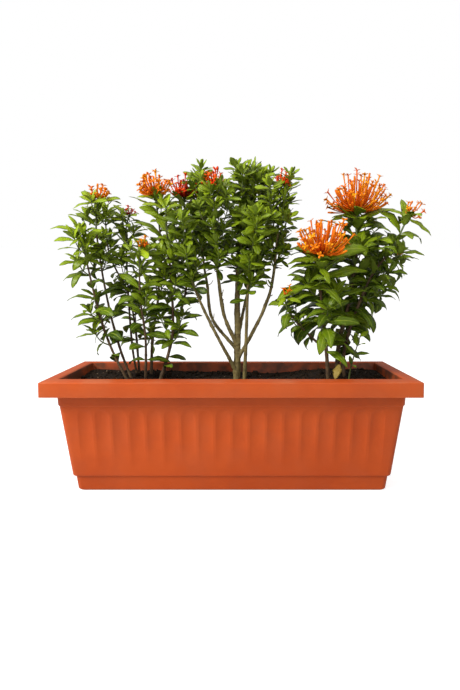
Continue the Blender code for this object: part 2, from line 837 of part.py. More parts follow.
def build_flower(stem, petals, radius, height, subdivisions):
    """A flower head: a small ball whose upper faces are drawn out into florets that widen to the end."""
    core = radius * CORE_SHARE * MM
    mesh = bmesh.new()
    bmesh.ops.create_icosphere(mesh, subdivisions=subdivisions, radius=core)
    upper = [face for face in mesh.faces if face.calc_center_median().normalized().z > LOWEST_FLORET]
    florets = bmesh.ops.extrude_discrete_faces(mesh, faces=upper)["faces"]
    for face in florets:
        middle = face.calc_center_median()
        out = middle.normalized()
        end = Vector((out.x * radius, out.y * radius, out.z * height)) * MM
        for corner in face.verts:
            corner.co = end + (corner.co - middle) * 1.25
    tip = stem.path.at(stem.path.length)[0]
    mesh.transform(Matrix.Translation(tip + Vector((0, 0, core + 1 * MM))))
    OBSTACLES.add(Obstacles.shape_of(mesh))
    return to_object(mesh, stem.name.replace("_", "_flower_"), petals)


def build_fallen_leaf():
    """A dry leaf that lies on the soil, curled up a little at both ends."""
    (x, y), length, width, thickness, turn = FALLEN_LEAF
    heading = Vector((math.cos(math.radians(turn)), math.sin(math.radians(turn)), 0))
    side = Vector((-heading.y, heading.x, 0))
    rest = max(soil_height(x + heading.x * s, y + heading.y * s) for s in steps(-length / 2, length / 2, 8))
    rings = []
    for share, spread, lift in ((-0.5, 0.12, 3.2), (-0.2, 0.9, 1.4), (0.15, 1.0, 1.2), (0.5, 0.08, 4.0)):
        centre = Vector((x, y, rest + lift * MM)) + heading * length * share
        rings.append(corners(centre, side * width / 2 * spread, Vector((0, 0, thickness / 2))))
    mesh = bmesh.new()
    loft(mesh, rings)
    bmesh.ops.recalc_face_normals(mesh, faces=mesh.faces)
    return to_object(mesh, "fallen_leaf", "dry_leaf")


def main():
    clear_scene()
    build_trough()
    stems, sockets = build_wood()
    build_soil(sockets)
    build_fallen_leaf()
    for name, *sizes in FLOWERS:
        build_flower(stems[name], *sizes)
    shoots = [Shoot(stem) for stem in stems.values()]
    for shoot in shoots:
        shoot.add_twigs()
    for shoot in shoots:
        shoot.add_leaves()
        shoot.finish()


main()
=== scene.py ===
"""Planted window box: a fluted plastic trough, potting soil and three ixora shrubs in flower.

Everything is in metres in the part's own frame. Routes of stems and some other places are given in
millimetres, as a grower would sketch them; the box's size and the leaves' limits are worked out from the
part's own nodes.
"""

import logging
import math
import random
from dataclasses import dataclass, field
from enum import Enum

import bmesh
import bpy
import numpy as np
from mathutils import Matrix, Vector, noise
from mathutils.bvhtree import BVHTree


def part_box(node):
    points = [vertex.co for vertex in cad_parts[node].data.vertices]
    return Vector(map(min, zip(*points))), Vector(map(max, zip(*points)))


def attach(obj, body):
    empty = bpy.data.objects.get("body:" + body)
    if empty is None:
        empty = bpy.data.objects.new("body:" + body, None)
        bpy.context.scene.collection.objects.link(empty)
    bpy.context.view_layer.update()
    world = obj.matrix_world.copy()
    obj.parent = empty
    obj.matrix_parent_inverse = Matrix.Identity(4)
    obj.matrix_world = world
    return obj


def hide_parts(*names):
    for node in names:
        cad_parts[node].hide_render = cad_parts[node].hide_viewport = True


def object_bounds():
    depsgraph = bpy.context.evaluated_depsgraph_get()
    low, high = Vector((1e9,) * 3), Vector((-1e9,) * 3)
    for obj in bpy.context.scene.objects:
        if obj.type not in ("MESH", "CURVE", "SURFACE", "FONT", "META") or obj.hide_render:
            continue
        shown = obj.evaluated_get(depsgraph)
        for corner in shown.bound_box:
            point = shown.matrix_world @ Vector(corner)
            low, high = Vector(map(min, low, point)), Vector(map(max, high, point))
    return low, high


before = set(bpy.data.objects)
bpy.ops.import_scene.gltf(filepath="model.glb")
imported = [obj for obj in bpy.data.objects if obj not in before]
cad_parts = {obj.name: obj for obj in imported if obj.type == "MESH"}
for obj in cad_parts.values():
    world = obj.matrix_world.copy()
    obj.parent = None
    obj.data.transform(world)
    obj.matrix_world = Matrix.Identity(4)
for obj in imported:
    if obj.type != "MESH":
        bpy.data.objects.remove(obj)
CAD_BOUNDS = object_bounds()

MM = 0.001
LOG = logging.getLogger("window_box")

Colour = tuple[float, float, float, float]
Triple = tuple[float, float, float]
Faces = list[tuple[int, ...]]
Grid = np.ndarray


class Slot(Enum):
    """The record's material slots."""

    PLASTIC = "terracotta_plastic"
    SOIL = "potting_soil"
    CANE_BARK = "cane_bark"
    TRUNK_BARK = "trunk_bark"
    LEAF = "leaf"
    PETAL_ORANGE = "petal_orange"
    PETAL_RED = "petal_red"
    DRY_LEAF = "dry_leaf"


def publish(piece: bpy.types.Object, slot: Slot, *nodes: str) -> None:
    """Hangs a finished piece on the root and hides the part's nodes that it stands for.

    Args:
        piece: The finished object, in the part's frame.
        slot: The record's material slot that it is finished in. It is not used.
        nodes: Names of the part's nodes that it replaces.
    """
    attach(piece, "root")
    if nodes:
        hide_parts(*nodes)
    LOG.info("%s: %d faces, for %s", piece.name, len(piece.data.polygons), ", ".join(nodes) or "no node")


# ------------------------------------------------------------------------------------ shader wiring


class Wiring:
    """Adds nodes to one tree and joins them."""

    def __init__(self, tree: bpy.types.NodeTree) -> None:
        """Takes the tree to add to."""
        self.tree = tree

    def node(self, kind: str, inputs: dict | None = None, **settings: object) -> bpy.types.Node:
        """Adds a node.

        Args:
            kind: The node's type name.
            inputs: Socket names or numbers, each with a value or with the output that feeds it.
            settings: The node's own properties.

        Returns:
            The new node.
        """
        made = self.tree.nodes.new(kind)
        for name, value in settings.items():
            setattr(made, name, value)
        for key, value in (inputs or {}).items():
            self.feed(made.inputs[key], value)
        return made

    def feed(self, socket: bpy.types.NodeSocket, value: object) -> None:
        """Joins an output to a socket, or sets the socket's own value."""
        if isinstance(value, bpy.types.NodeSocket):
            self.tree.links.new(value, socket)
        else:
            socket.default_value = value

    def mix(self, factor: object, first: object, second: object) -> bpy.types.NodeSocket:
        """Mixes two colours and returns the result's socket."""
        return self.node("ShaderNodeMix", {0: factor, 6: first, 7: second}, data_type="RGBA").outputs[2]

    def marks(self) -> list[bpy.types.NodeSocket]:
        """Returns the three values of the mesh's own mark colours, as sockets."""
        colour = self.node("ShaderNodeAttribute", attribute_name="marks").outputs["Color"]
        return list(self.node("ShaderNodeSeparateColor", {0: colour}).outputs)

    def math(self, operation: str, first: object, second: object = 0.0) -> bpy.types.NodeSocket:
        """Does arithmetic on two values and returns the result's socket."""
        return self.node("ShaderNodeMath", {0: first, 1: second}, operation=operation).outputs[0]

    def times(self, first: object, second: object) -> bpy.types.NodeSocket:
        """Multiplies two values and returns the result's socket."""
        return self.math("MULTIPLY", first, second)

    def plus(self, first: object, second: object) -> bpy.types.NodeSocket:
        """Adds two values and returns the result's socket."""
        return self.math("ADD", first, second)

    def remap(
        self, value: object, low: float, high: float, to_low: float, to_high: float
    ) -> bpy.types.NodeSocket:
        """Maps a range of values smoothly onto another and returns the result's socket."""
        inputs = {"Value": value, "From Min": low, "From Max": high, "To Min": to_low, "To Max": to_high}
        return self.node("ShaderNodeMapRange", inputs, interpolation_type="SMOOTHSTEP").outputs["Result"]

    def noise(self, vector: object, scale: object, detail: float = 3.0) -> bpy.types.NodeSocket:
        """Adds a noise texture and returns its value's socket."""
        inputs = {"Vector": vector, "Scale": scale, "Detail": detail}
        return self.node("ShaderNodeTexNoise", inputs).outputs["Fac"]


class EffectGroup(Wiring):
    """A shader node group with named sockets, in the making."""

    def __init__(self, name: str, inputs: dict[str, str], outputs: dict[str, str]) -> None:
        """Starts the group.

        Args:
            name: The group's name.
            inputs: Each input's name and kind: Vector, Color or Float.
            outputs: Each output's name and kind.
        """
        super().__init__(bpy.data.node_groups.new(name, "ShaderNodeTree"))
        for way, sockets in (("INPUT", inputs), ("OUTPUT", outputs)):
            for title, kind in sockets.items():
                self.tree.interface.new_socket(title, in_out=way, socket_type=f"NodeSocket{kind}")
        self.given = self.node("NodeGroupInput").outputs
        self.out = self.node("NodeGroupOutput").inputs

    def finish(self, results: dict[str, bpy.types.NodeSocket]) -> bpy.types.NodeTree:
        """Feeds the group's outputs by name and returns the group."""
        for title, value in results.items():
            self.feed(self.out[title], value)
        return self.tree


SURFACE_INPUTS = {"Coordinates": "Vector", "Colour": "Color", "Scale": "Float", "Amount": "Float"}


@dataclass
class SharedEffects:
    """The shader node groups that more than one finish uses, each built once."""

    groups: dict[str, bpy.types.NodeTree] = field(default_factory=dict)

    def use(self, wiring: Wiring, name: str, inputs: dict) -> bpy.types.Node:
        """Places a group in a material.

        Args:
            wiring: The material's wiring.
            name: Which effect: mottle, grain, or pale patches on upward faces, partly painted top light.
            inputs: Its inputs' values.

        Returns:
            The group's node.
        """
        if name not in self.groups:
            self.groups[name] = {"mottle": self._mottle, "grain": self._grain, "dust_and_top_light": self._dust_and_top_light}[name]()
        made = wiring.node("ShaderNodeGroup", node_tree=self.groups[name])
        for key, value in inputs.items():
            wiring.feed(made.inputs[key], value)
        return made

    @staticmethod
    def _mottle() -> bpy.types.NodeTree:
        """Soft blotches of a second colour in two sizes."""
        group = EffectGroup(
            "mottle",
            {**SURFACE_INPUTS, "Blotch Colour": "Color"},
            {"Colour": "Color", "Mask": "Float"},
        )
        given = group.given
        coarse = group.noise(given["Coordinates"], given["Scale"])
        fine = group.noise(given["Coordinates"], group.times(given["Scale"], 5.3))
        both = group.plus(group.times(coarse, 0.65), group.times(fine, 0.35))
        mask = group.times(group.remap(both, 0.38, 0.64, 0.0, 1.0), given["Amount"])
        blotched = group.mix(mask, given["Colour"], given["Blotch Colour"])
        return group.finish({"Colour": blotched, "Mask": mask})

    @staticmethod
    def _grain() -> bpy.types.NodeTree:
        """Fine unevenness of a surface, as a height."""
        inputs = {"Coordinates": "Vector", "Scale": "Float", "Coarse Share": "Float"}
        group = EffectGroup("grain", inputs, {"Height": "Float"})
        given = group.given
        fine = group.noise(given["Coordinates"], given["Scale"], 5.0)
        coarse = group.noise(given["Coordinates"], group.times(given["Scale"], 0.12), 2.0)
        mixed = group.node("ShaderNodeMix", {0: given["Coarse Share"], 2: fine, 3: coarse})
        return group.finish({"Height": mixed.outputs[0]})

    @staticmethod
    def _dust_and_top_light() -> bpy.types.NodeTree:
        """Pale patches on what faces up: settled dirt, and on the plastic partly painted top light."""
        group = EffectGroup(
            "dust_and_top_light",
            {**SURFACE_INPUTS, "Dust Colour": "Color"},
            {"Colour": "Color", "Mask": "Float"},
        )
        given = group.given
        normal = group.node("ShaderNodeNewGeometry").outputs["Normal"]
        upward = group.node("ShaderNodeSeparateXYZ", {0: normal}).outputs["Z"]
        facing = group.remap(upward, -0.1, 1.0, 0.15, 1.0)
        patches = group.remap(group.noise(given["Coordinates"], given["Scale"], 6.0), 0.4, 0.7, 0.0, 1.0)
        mask = group.times(group.times(facing, patches), given["Amount"])
        dusted_and_top_lit = group.mix(mask, given["Colour"], given["Dust Colour"])
        return group.finish({"Colour": dusted_and_top_lit, "Mask": mask})


EFFECTS = SharedEffects()


class Coat(Wiring):
    """A material in the making, with its Principled shader and the object's own coordinates."""

    def __init__(self, name: str) -> None:
        """Makes a material of this name."""
        self.material = bpy.data.materials.new(name)
        self.material.use_nodes = True
        super().__init__(self.material.node_tree)
        self.shader = self.tree.nodes["Principled BSDF"].inputs
        self.place = self.node("ShaderNodeTexCoord").outputs["Object"]

    def mottle(self, colour: object, blotch: object, scale: float, amount: float) -> tuple:
        """Adds soft blotches.

        Args:
            colour: The colour between the blotches.
            blotch: The blotches' colour.
            scale: How small they are.
            amount: How strongly they show.

        Returns:
            Outputs with the colour and with the blotches' mask.
        """
        inputs = {"Coordinates": self.place, "Colour": colour, "Blotch Colour": blotch}
        made = EFFECTS.use(self, "mottle", {**inputs, "Scale": scale, "Amount": amount})
        return made.outputs["Colour"], made.outputs["Mask"]

    def dust_and_top_light(self, colour: object, dust_and_top_light: object, scale: float, amount: float) -> tuple:
        """Adds pale patches on what faces up, as lichen on bark and settled dirt on plastic; on the plastic
        they are partly painted top light.

        Args:
            colour: The colour under the dust.
            dust_and_top_light: The patches' colour.
            scale: How small its patches are.
            amount: How strongly they show.

        Returns:
            Outputs with the colour and with the patches' mask.
        """
        inputs = {"Coordinates": self.place, "Colour": colour, "Dust Colour": dust_and_top_light}
        made = EFFECTS.use(self, "dust_and_top_light", {**inputs, "Scale": scale, "Amount": amount})
        return made.outputs["Colour"], made.outputs["Mask"]

    def grain(self, scale: float, coarse: float, depth: float, strength: float) -> None:
        """Roughens the surface finely.

        Args:
            scale: How fine the grain is.
            coarse: The share of coarser lumps in it.
            depth: Its depth in metres.
            strength: How strongly it shows.
        """
        inputs = {"Coordinates": self.place, "Scale": scale, "Coarse Share": coarse}
        self.bump(EFFECTS.use(self, "grain", inputs).outputs["Height"], depth, strength)

    def bump(self, height: bpy.types.NodeSocket, depth: float, strength: float) -> None:
        """Feeds a height from 0 to 1, which stands for a depth in metres, to the shader's normal."""
        bump = self.node("ShaderNodeBump", {"Height": height, "Distance": depth, "Strength": strength})
        self.feed(self.shader["Normal"], bump.outputs["Normal"])

    def finish(self, colour: object, roughness: object, specular: float = 0.5) -> bpy.types.Material:
        """Gives the shader its colour, roughness and specular level and returns the material."""
        values = {"Base Color": colour, "Roughness": roughness, "Specular IOR Level": specular}
        for name, value in values.items():
            self.feed(self.shader[name], value)
        return self.material


# ----------------------------------------------------------------------------------------- finishes


@dataclass(frozen=True)
class MouldedPlastic:
    """Orange-brown polypropylene: satin, dusty and paler on top, partly as painted top light; paler along
    its edges, partly as wear and partly as a painted edge highlight; and darkened soil-brown inside the box
    with painted shade.
    """

    colour: Colour = (0.52, 0.080, 0.012, 1)
    darker: Colour = (0.42, 0.056, 0.008, 1)
    rubbed_and_highlit: Colour = (0.66, 0.17, 0.055, 1)
    dust_and_top_light: Colour = (0.55, 0.26, 0.14, 1)
    inner_shade: Colour = (0.095, 0.036, 0.016, 1)
    gloss_off: float = 0.40

    def build(self) -> bpy.types.Material:
        """Returns the material."""
        coat = Coat("terracotta_plastic")
        blotched, blotches = coat.mottle(self.colour, self.darker, scale=9.0, amount=0.55)
        # Paler convex edges: partly wear, partly a painted edge highlight.
        edge = coat.node("ShaderNodeNewGeometry").outputs["Pointiness"]
        worn_and_highlit = coat.times(coat.remap(edge, 0.505, 0.56, 0.0, 0.55), coat.noise(coat.place, 60.0))
        # Pale patches on what faces up make the rim top paler: partly settled dirt, partly painted top
        # light. They also dull the gloss.
        dusted_and_top_lit, dust_and_top_light = coat.dust_and_top_light(coat.mix(worn_and_highlit, blotched, self.rubbed_and_highlit), self.dust_and_top_light, scale=24.0, amount=0.24)
        # Painted shade: the inner walls above the soil, flagged by the mesh's marks, are darkened soil-brown
        # in patches.
        inside = coat.marks()[0]
        patches = coat.remap(coat.noise(coat.place, 38.0), 0.35, 0.62, 0.35, 0.90)
        shaded_inside = coat.mix(coat.times(inside, patches), dusted_and_top_lit, self.inner_shade)
        dulled = coat.plus(coat.times(dust_and_top_light, 0.5), self.gloss_off)
        coat.grain(scale=900.0, coarse=0.35, depth=0.25 * MM, strength=0.35)
        return coat.finish(shaded_inside, coat.plus(dulled, coat.times(blotches, 0.08)), specular=0.2)


@dataclass(frozen=True)
class MoistSoil:
    """Dark crumbly potting mix, a little moist."""

    colour: Colour = (0.0095, 0.0055, 0.0028, 1)
    drier: Colour = (0.030, 0.018, 0.0095, 1)

    def build(self) -> bpy.types.Material:
        """Returns the material."""
        coat = Coat("potting_soil")
        mottled, mask = coat.mottle(self.colour, self.drier, scale=90.0, amount=0.8)
        coat.grain(scale=700.0, coarse=0.4, depth=1.2 * MM, strength=0.9)
        return coat.finish(mottled, coat.remap(mask, 0.0, 0.8, 0.72, 0.98), specular=0.15)


@dataclass(frozen=True)
class Grit:
    """Pale grit and bits of wood in the soil."""

    colour: Colour = (0.24, 0.18, 0.11, 1)
    darker: Colour = (0.09, 0.055, 0.03, 1)

    def build(self) -> bpy.types.Material:
        """Returns the material."""
        coat = Coat("soil_grit")
        return coat.finish(coat.mottle(self.colour, self.darker, scale=120.0, amount=0.9)[0], 0.85)


@dataclass(frozen=True)
class Bark:
    """Bark with blotches, fine lengthwise cracks and lichen."""

    name: str
    colour: Colour
    blotch: Colour
    lichen: Colour
    crack_scale: float
    crack: Colour = (0.012, 0.008, 0.005, 1)

    def build(self) -> bpy.types.Material:
        """Returns the material."""
        coat = Coat(self.name)
        blotched, _ = coat.mottle(self.colour, self.blotch, scale=110.0, amount=0.85)
        stretched = coat.node("ShaderNodeMapping", {"Vector": coat.place, "Scale": (1.0, 1.0, 0.16)})
        cracks = coat.noise(stretched.outputs[0], self.crack_scale, 6.0)
        cracked = coat.mix(coat.remap(cracks, 0.30, 0.48, 0.55, 0.0), blotched, self.crack)
        dusted_and_top_lit, _ = coat.dust_and_top_light(cracked, self.lichen, scale=70.0, amount=0.7)
        coat.bump(cracks, 1.1 * MM, 0.8)
        return coat.finish(dusted_and_top_lit, coat.remap(cracks, 0.2, 0.8, 0.9, 0.62))


@dataclass(frozen=True)
class LivingLeaf:
    """Waxy leaf: each has its own tint, younger ones are paler, partly as painted light shining through the
    top leaves, and the underside is pale and dull.
    """

    dark: Colour = (0.038, 0.078, 0.0025, 1)
    light: Colour = (0.138, 0.218, 0.004, 1)
    young_and_lit: Colour = (0.310, 0.430, 0.008, 1)
    shade: Colour = (0.01, 0.03, 0.004, 1)
    underside: Colour = (0.175, 0.245, 0.028, 1)
    midrib: Colour = (0.350, 0.430, 0.050, 1)
    veins: float = 8.0

    def build(self) -> bpy.types.Material:
        """Returns the material."""
        coat = Coat("leaf")
        tint, age, under = coat.marks()
        place = coat.node("ShaderNodeUVMap", uv_map="leaf_map").outputs[0]
        across, up, _ = coat.node("ShaderNodeSeparateXYZ", {0: place}).outputs
        off_middle = coat.math("ABSOLUTE", coat.math("SUBTRACT", across, 0.5))
        rib = coat.remap(off_middle, 0.015, 0.055, 1.0, 0.0)
        along = coat.times(coat.math("SUBTRACT", up, off_middle), 2 * math.pi * self.veins)
        vein = coat.remap(coat.math("SINE", along), 0.72, 1.0, 0.0, 1.0)
        # Younger leaves are paler: partly their own colour, partly painted light shining through them.
        aged = coat.mix(age, self.young_and_lit, coat.mix(tint, self.dark, self.light))
        mottled, mask = coat.mottle(aged, coat.mix(0.5, aged, self.shade), scale=140.0, amount=0.5)
        ribbed = coat.mix(coat.times(rib, 0.6), mottled, self.midrib)
        veined = coat.mix(coat.times(vein, 0.16), ribbed, self.midrib)
        coat.bump(coat.math("SUBTRACT", coat.times(mask, 0.3), coat.plus(vein, rib)), 0.25 * MM, 0.5)
        dulled = coat.plus(coat.plus(coat.times(mask, 0.15), 0.27), coat.times(under, 0.28))
        return coat.finish(coat.mix(coat.times(under, 0.8), veined, self.underside), dulled, specular=0.18)


@dataclass(frozen=True)
class GreenStem:
    """The green, faintly brown stem of a new shoot."""

    colour: Colour = (0.105, 0.150, 0.030, 1)
    blotch: Colour = (0.075, 0.062, 0.022, 1)

    def build(self) -> bpy.types.Material:
        """Returns the material."""
        coat = Coat("green_stem")
        coat.grain(scale=900.0, coarse=0.5, depth=0.3 * MM, strength=0.5)
        return coat.finish(coat.mottle(self.colour, self.blotch, scale=90.0, amount=0.8)[0], 0.5)


@dataclass(frozen=True)
class Petals:
    """Floret colours, from the tube's base to the petals' tips, and of the closed buds."""

    name: str
    base: Colour
    tip: Colour
    glow: Colour
    bud: Colour

    def build(self) -> bpy.types.Material:
        """Returns the material."""
        coat = Coat(self.name)
        along, tint, closed = coat.marks()
        warmth = coat.times(coat.math("POWER", tint, 1.3), along)
        warm = coat.mix(warmth, coat.mix(along, self.base, self.tip), self.glow)
        shown = coat.mix(closed, warm, self.bud)
        mottled, _ = coat.mottle(shown, coat.mix(0.45, shown, self.base), scale=160.0, amount=0.45)
        coat.grain(scale=1500.0, coarse=0.3, depth=0.15 * MM, strength=0.4)
        return coat.finish(mottled, 0.55, specular=0.15)


@dataclass(frozen=True)
class DryLeaf:
    """A dead leaf: yellow, browned in patches."""

    colour: Colour = (0.34, 0.24, 0.030, 1)
    blotch: Colour = (0.17, 0.09, 0.02, 1)

    def build(self) -> bpy.types.Material:
        """Returns the material."""
        coat = Coat("dry_leaf")
        coat.grain(scale=500.0, coarse=0.5, depth=0.5 * MM, strength=0.6)
        return coat.finish(coat.mottle(self.colour, self.blotch, scale=60.0, amount=0.7)[0], 0.6)


@dataclass(frozen=True)
class PaleFloor:
    """The studio's plain pale floor."""

    colour: Colour = (0.60, 0.60, 0.60, 1)
    blotch: Colour = (0.58, 0.58, 0.58, 1)
    glow: float = 0.78

    def build(self) -> bpy.types.Material:
        """Returns the material. It glows for the camera alone, so it reads as white but lights nothing."""
        coat = Coat("studio_floor")
        coat.feed(coat.shader["Emission Color"], (1.0, 1.0, 1.0, 1.0))
        seen = coat.node("ShaderNodeLightPath").outputs["Is Camera Ray"]
        coat.feed(coat.shader["Emission Strength"], coat.times(seen, self.glow))
        return coat.finish(coat.mottle(self.colour, self.blotch, scale=1.5, amount=0.3)[0], 0.8)


CANE_BARK = Bark(
    name="cane_bark",
    colour=(0.125, 0.070, 0.030, 1),
    blotch=(0.052, 0.026, 0.013, 1),
    lichen=(0.21, 0.18, 0.07, 1),
    crack_scale=420.0,
)
TRUNK_BARK = Bark(
    name="trunk_bark",
    colour=(0.235, 0.185, 0.060, 1),
    blotch=(0.105, 0.072, 0.021, 1),
    lichen=(0.36, 0.33, 0.18, 1),
    crack_scale=300.0,
)
ORANGE_PETALS = Petals(
    name="petal_orange",
    base=(0.56, 0.042, 0.002, 1),
    tip=(0.86, 0.18, 0.002, 1),
    glow=(0.98, 0.42, 0.008, 1),
    bud=(0.82, 0.18, 0.004, 1),
)
RED_PETALS = Petals(
    name="petal_red",
    base=(0.56, 0.016, 0.002, 1),
    tip=(0.84, 0.050, 0.002, 1),
    glow=(0.92, 0.15, 0.004, 1),
    bud=(0.32, 0.024, 0.010, 1),
)


@dataclass
class Palette:
    """Every finish's material, built once."""

    def __post_init__(self) -> None:
        """Builds every material."""
        self.plastic = MouldedPlastic().build()
        self.soil = MoistSoil().build()
        self.grit = Grit().build()
        self.cane_bark = CANE_BARK.build()
        self.trunk_bark = TRUNK_BARK.build()
        self.leaf = LivingLeaf().build()
        self.green_stem = GreenStem().build()
        self.orange = ORANGE_PETALS.build()
        self.red = RED_PETALS.build()
        self.dry_leaf = DryLeaf().build()


# ------------------------------------------------------------------------------------ mesh building


UP = np.array((0.0, 0.0, 1.0))
LIGHTWARD = np.array((0.0, -1.0, 0.2))


def unit(vector: Grid) -> Grid:
    """Returns the vector at length one."""
    return vector / max(1e-9, float(np.linalg.norm(vector)))


def square_to(vector: Grid, axis: Grid) -> Grid:
    """Returns the unit part of a vector that is square to an axis."""
    rest = vector - axis * float(np.dot(vector, axis))
    if np.linalg.norm(rest) < 1e-6:
        rest = np.cross(axis, (0.31, 0.83, 0.46))
    return unit(rest)


def turned(vector: Grid, axis: Grid, angle: float) -> Grid:
    """Returns a vector turned about an axis by an angle in radians."""
    cos, sin = math.cos(angle), math.sin(angle)
    return vector * cos + np.cross(axis, vector) * sin + axis * float(np.dot(axis, vector)) * (1 - cos)


def between(low: float, high: float, share: float) -> float:
    """Returns the value at a share of the way from low to high."""
    return low + (high - low) * share


@dataclass
class Sculpture:
    """Gathers closed shells for one piece, with a mark colour and a map place for each point."""

    name: str
    finishes: list[bpy.types.Material]
    points: list[Grid] = field(default_factory=list)
    faces: Faces = field(default_factory=list)
    marks: list[Grid] = field(default_factory=list)
    places: list[Grid] = field(default_factory=list)
    undersides: list[bool] = field(default_factory=list)
    finish_numbers: list[int] = field(default_factory=list)
    count: int = 0

    def add(
        self,
        points: Grid,
        faces: Faces,
        marks: Grid | None = None,
        places: Grid | None = None,
        undersides: list[bool] | None = None,
        finish: int = 0,
    ) -> None:
        """Adds one closed shell.

        Args:
            points: Its points, one row each.
            faces: Its faces, as rows' numbers, counter-clockwise from outside.
            marks: Each point's mark colour, three values a row.
            places: Each point's place on the map, two values a row.
            undersides: Which faces are a leaf's underside.
            finish: Which of the piece's finishes it takes.
        """
        self.points.append(points)
        self.marks.append(np.zeros((len(points), 3)) if marks is None else marks)
        self.places.append(np.zeros((len(points), 2)) if places is None else places)
        self.faces.extend(tuple(k + self.count for k in face) for face in faces)
        self.undersides.extend(undersides or [False] * len(faces))
        self.finish_numbers.extend([finish] * len(faces))
        self.count += len(points)

    def build(self) -> bpy.types.Object:
        """Returns the finished object."""
        mesh = bpy.data.meshes.new(self.name)
        points = np.concatenate(self.points)
        mesh.from_pydata(points.tolist(), [], self.faces)
        corners = np.empty(len(mesh.loops), dtype=np.int32)
        mesh.loops.foreach_get("vertex_index", corners)
        totals = np.empty(len(mesh.polygons), dtype=np.int32)
        mesh.polygons.foreach_get("loop_total", totals)
        colours = np.ones((len(corners), 4), dtype=np.float32)
        colours[:, :3] = np.concatenate(self.marks)[corners]
        under = np.repeat(np.array(self.undersides), totals)
        colours[under, 2] = 1.0
        layer = mesh.color_attributes.new("marks", "FLOAT_COLOR", "CORNER")
        layer.data.foreach_set("color", colours.ravel())
        leaf_map = mesh.uv_layers.new(name="leaf_map")
        leaf_map.data.foreach_set("uv", np.concatenate(self.places)[corners].astype(np.float32).ravel())
        mesh.polygons.foreach_set("material_index", self.finish_numbers)
        for finish in self.finishes:
            mesh.materials.append(finish)
        mesh.polygons.foreach_set("use_smooth", [True] * len(mesh.polygons))
        mesh.update()
        made = bpy.data.objects.new(self.name, mesh)
        bpy.context.scene.collection.objects.link(made)
        return made


class Route:
    """A smooth curve through points, read by its length."""

    STEPS = 10

    def __init__(self, points: list) -> None:
        """Takes the points in metres."""
        given = np.array(points, dtype=float)
        guide = np.vstack([2 * given[0] - given[1], given, 2 * given[-1] - given[-2]])
        rows = [given[0]]
        for a, b, c, d in zip(guide, guide[1:], guide[2:], guide[3:]):
            for step in range(1, self.STEPS + 1):
                t = step / self.STEPS
                square = (2 * a - 5 * b + 4 * c - d) * t**2
                cube = (3 * b - a - 3 * c + d) * t**3
                rows.append(0.5 * (2 * b + (c - a) * t + square + cube))
        self.rows = np.array(rows)
        gaps = np.linalg.norm(np.diff(self.rows, axis=0), axis=1)
        self.lengths = np.concatenate([[0.0], np.cumsum(gaps)])
        self.length = float(self.lengths[-1])

    def at(self, length: float) -> tuple[Grid, Grid]:
        """Returns the place and the heading at a length along the route."""
        here = self.place(length)
        step = self.length * 0.01
        return here, unit(self.place(min(length + step, self.length)) - self.place(max(length - step, 0.0)))

    def place(self, length: float) -> Grid:
        """Returns the place at a length along the route."""
        return np.array([np.interp(length, self.lengths, self.rows[:, k]) for k in range(3)])


def tube_faces(rings: int, sides: int) -> Faces:
    """Joins rings of points with four-sided faces.

    Args:
        rings: The number of rings.
        sides: The number of points in each.

    Returns:
        The faces, counter-clockwise from outside where the rings are so from above.
    """
    faces = []
    for start in range(0, (rings - 1) * sides, sides):
        for k in range(sides):
            a, b = start + k, start + (k + 1) % sides
            faces.append((a, b, b + sides, a + sides))
    return faces


def add_tube(
    sculpture: Sculpture,
    route: Route,
    lengths: list[float],
    radii: list[float],
    sides: int,
    marks: list[tuple[float, float, float]] | None = None,
    roughness: float = 0.0,
    finish: int = 0,
) -> None:
    """Adds a closed tube with rounded ends along a route.

    Args:
        sculpture: The piece to add to.
        route: The tube's middle line.
        lengths: Where along the route each ring stands.
        radii: Each ring's radius.
        sides: Number of sides.
        marks: Each ring's mark colour.
        roughness: How unevenly the rings are rounded, as a share of the radius.
        finish: Which finish it takes.
    """
    rings, hint = [], np.array((0.21, 0.94, 0.13))
    for length, radius in zip(lengths, radii):
        place, heading = route.at(length)
        first = square_to(hint, heading)
        hint = first
        second = np.cross(heading, first)
        for k in range(sides):
            turn = 2 * math.pi * k / sides
            out = math.cos(turn) * first + math.sin(turn) * second
            wobble = 1.0
            if roughness:
                spot = (place + out * radius) / (7 * MM)
                wobble += roughness * noise.noise(Vector((spot[0], spot[1], spot[2] * 0.3)))
            rings.append(place + out * radius * wobble)
    points = np.array(rings)
    faces = tube_faces(len(lengths), sides)
    foot, head = route.place(lengths[0]), route.at(lengths[-1])
    points = np.vstack([points, foot, head[0] + head[1] * radii[-1] * 0.6])
    last = (len(lengths) - 1) * sides
    for k in range(sides):
        after = (k + 1) % sides
        faces.append((after, k, len(points) - 2))
        faces.append((last + k, last + after, len(points) - 1))
    colours = None
    if marks:
        spread = np.repeat(np.array(marks), sides, axis=0)
        colours = np.vstack([spread, spread[0], spread[-1]])
    sculpture.add(points, faces, colours, finish=finish)


# ------------------------------------------------------------------------------------------- leaves


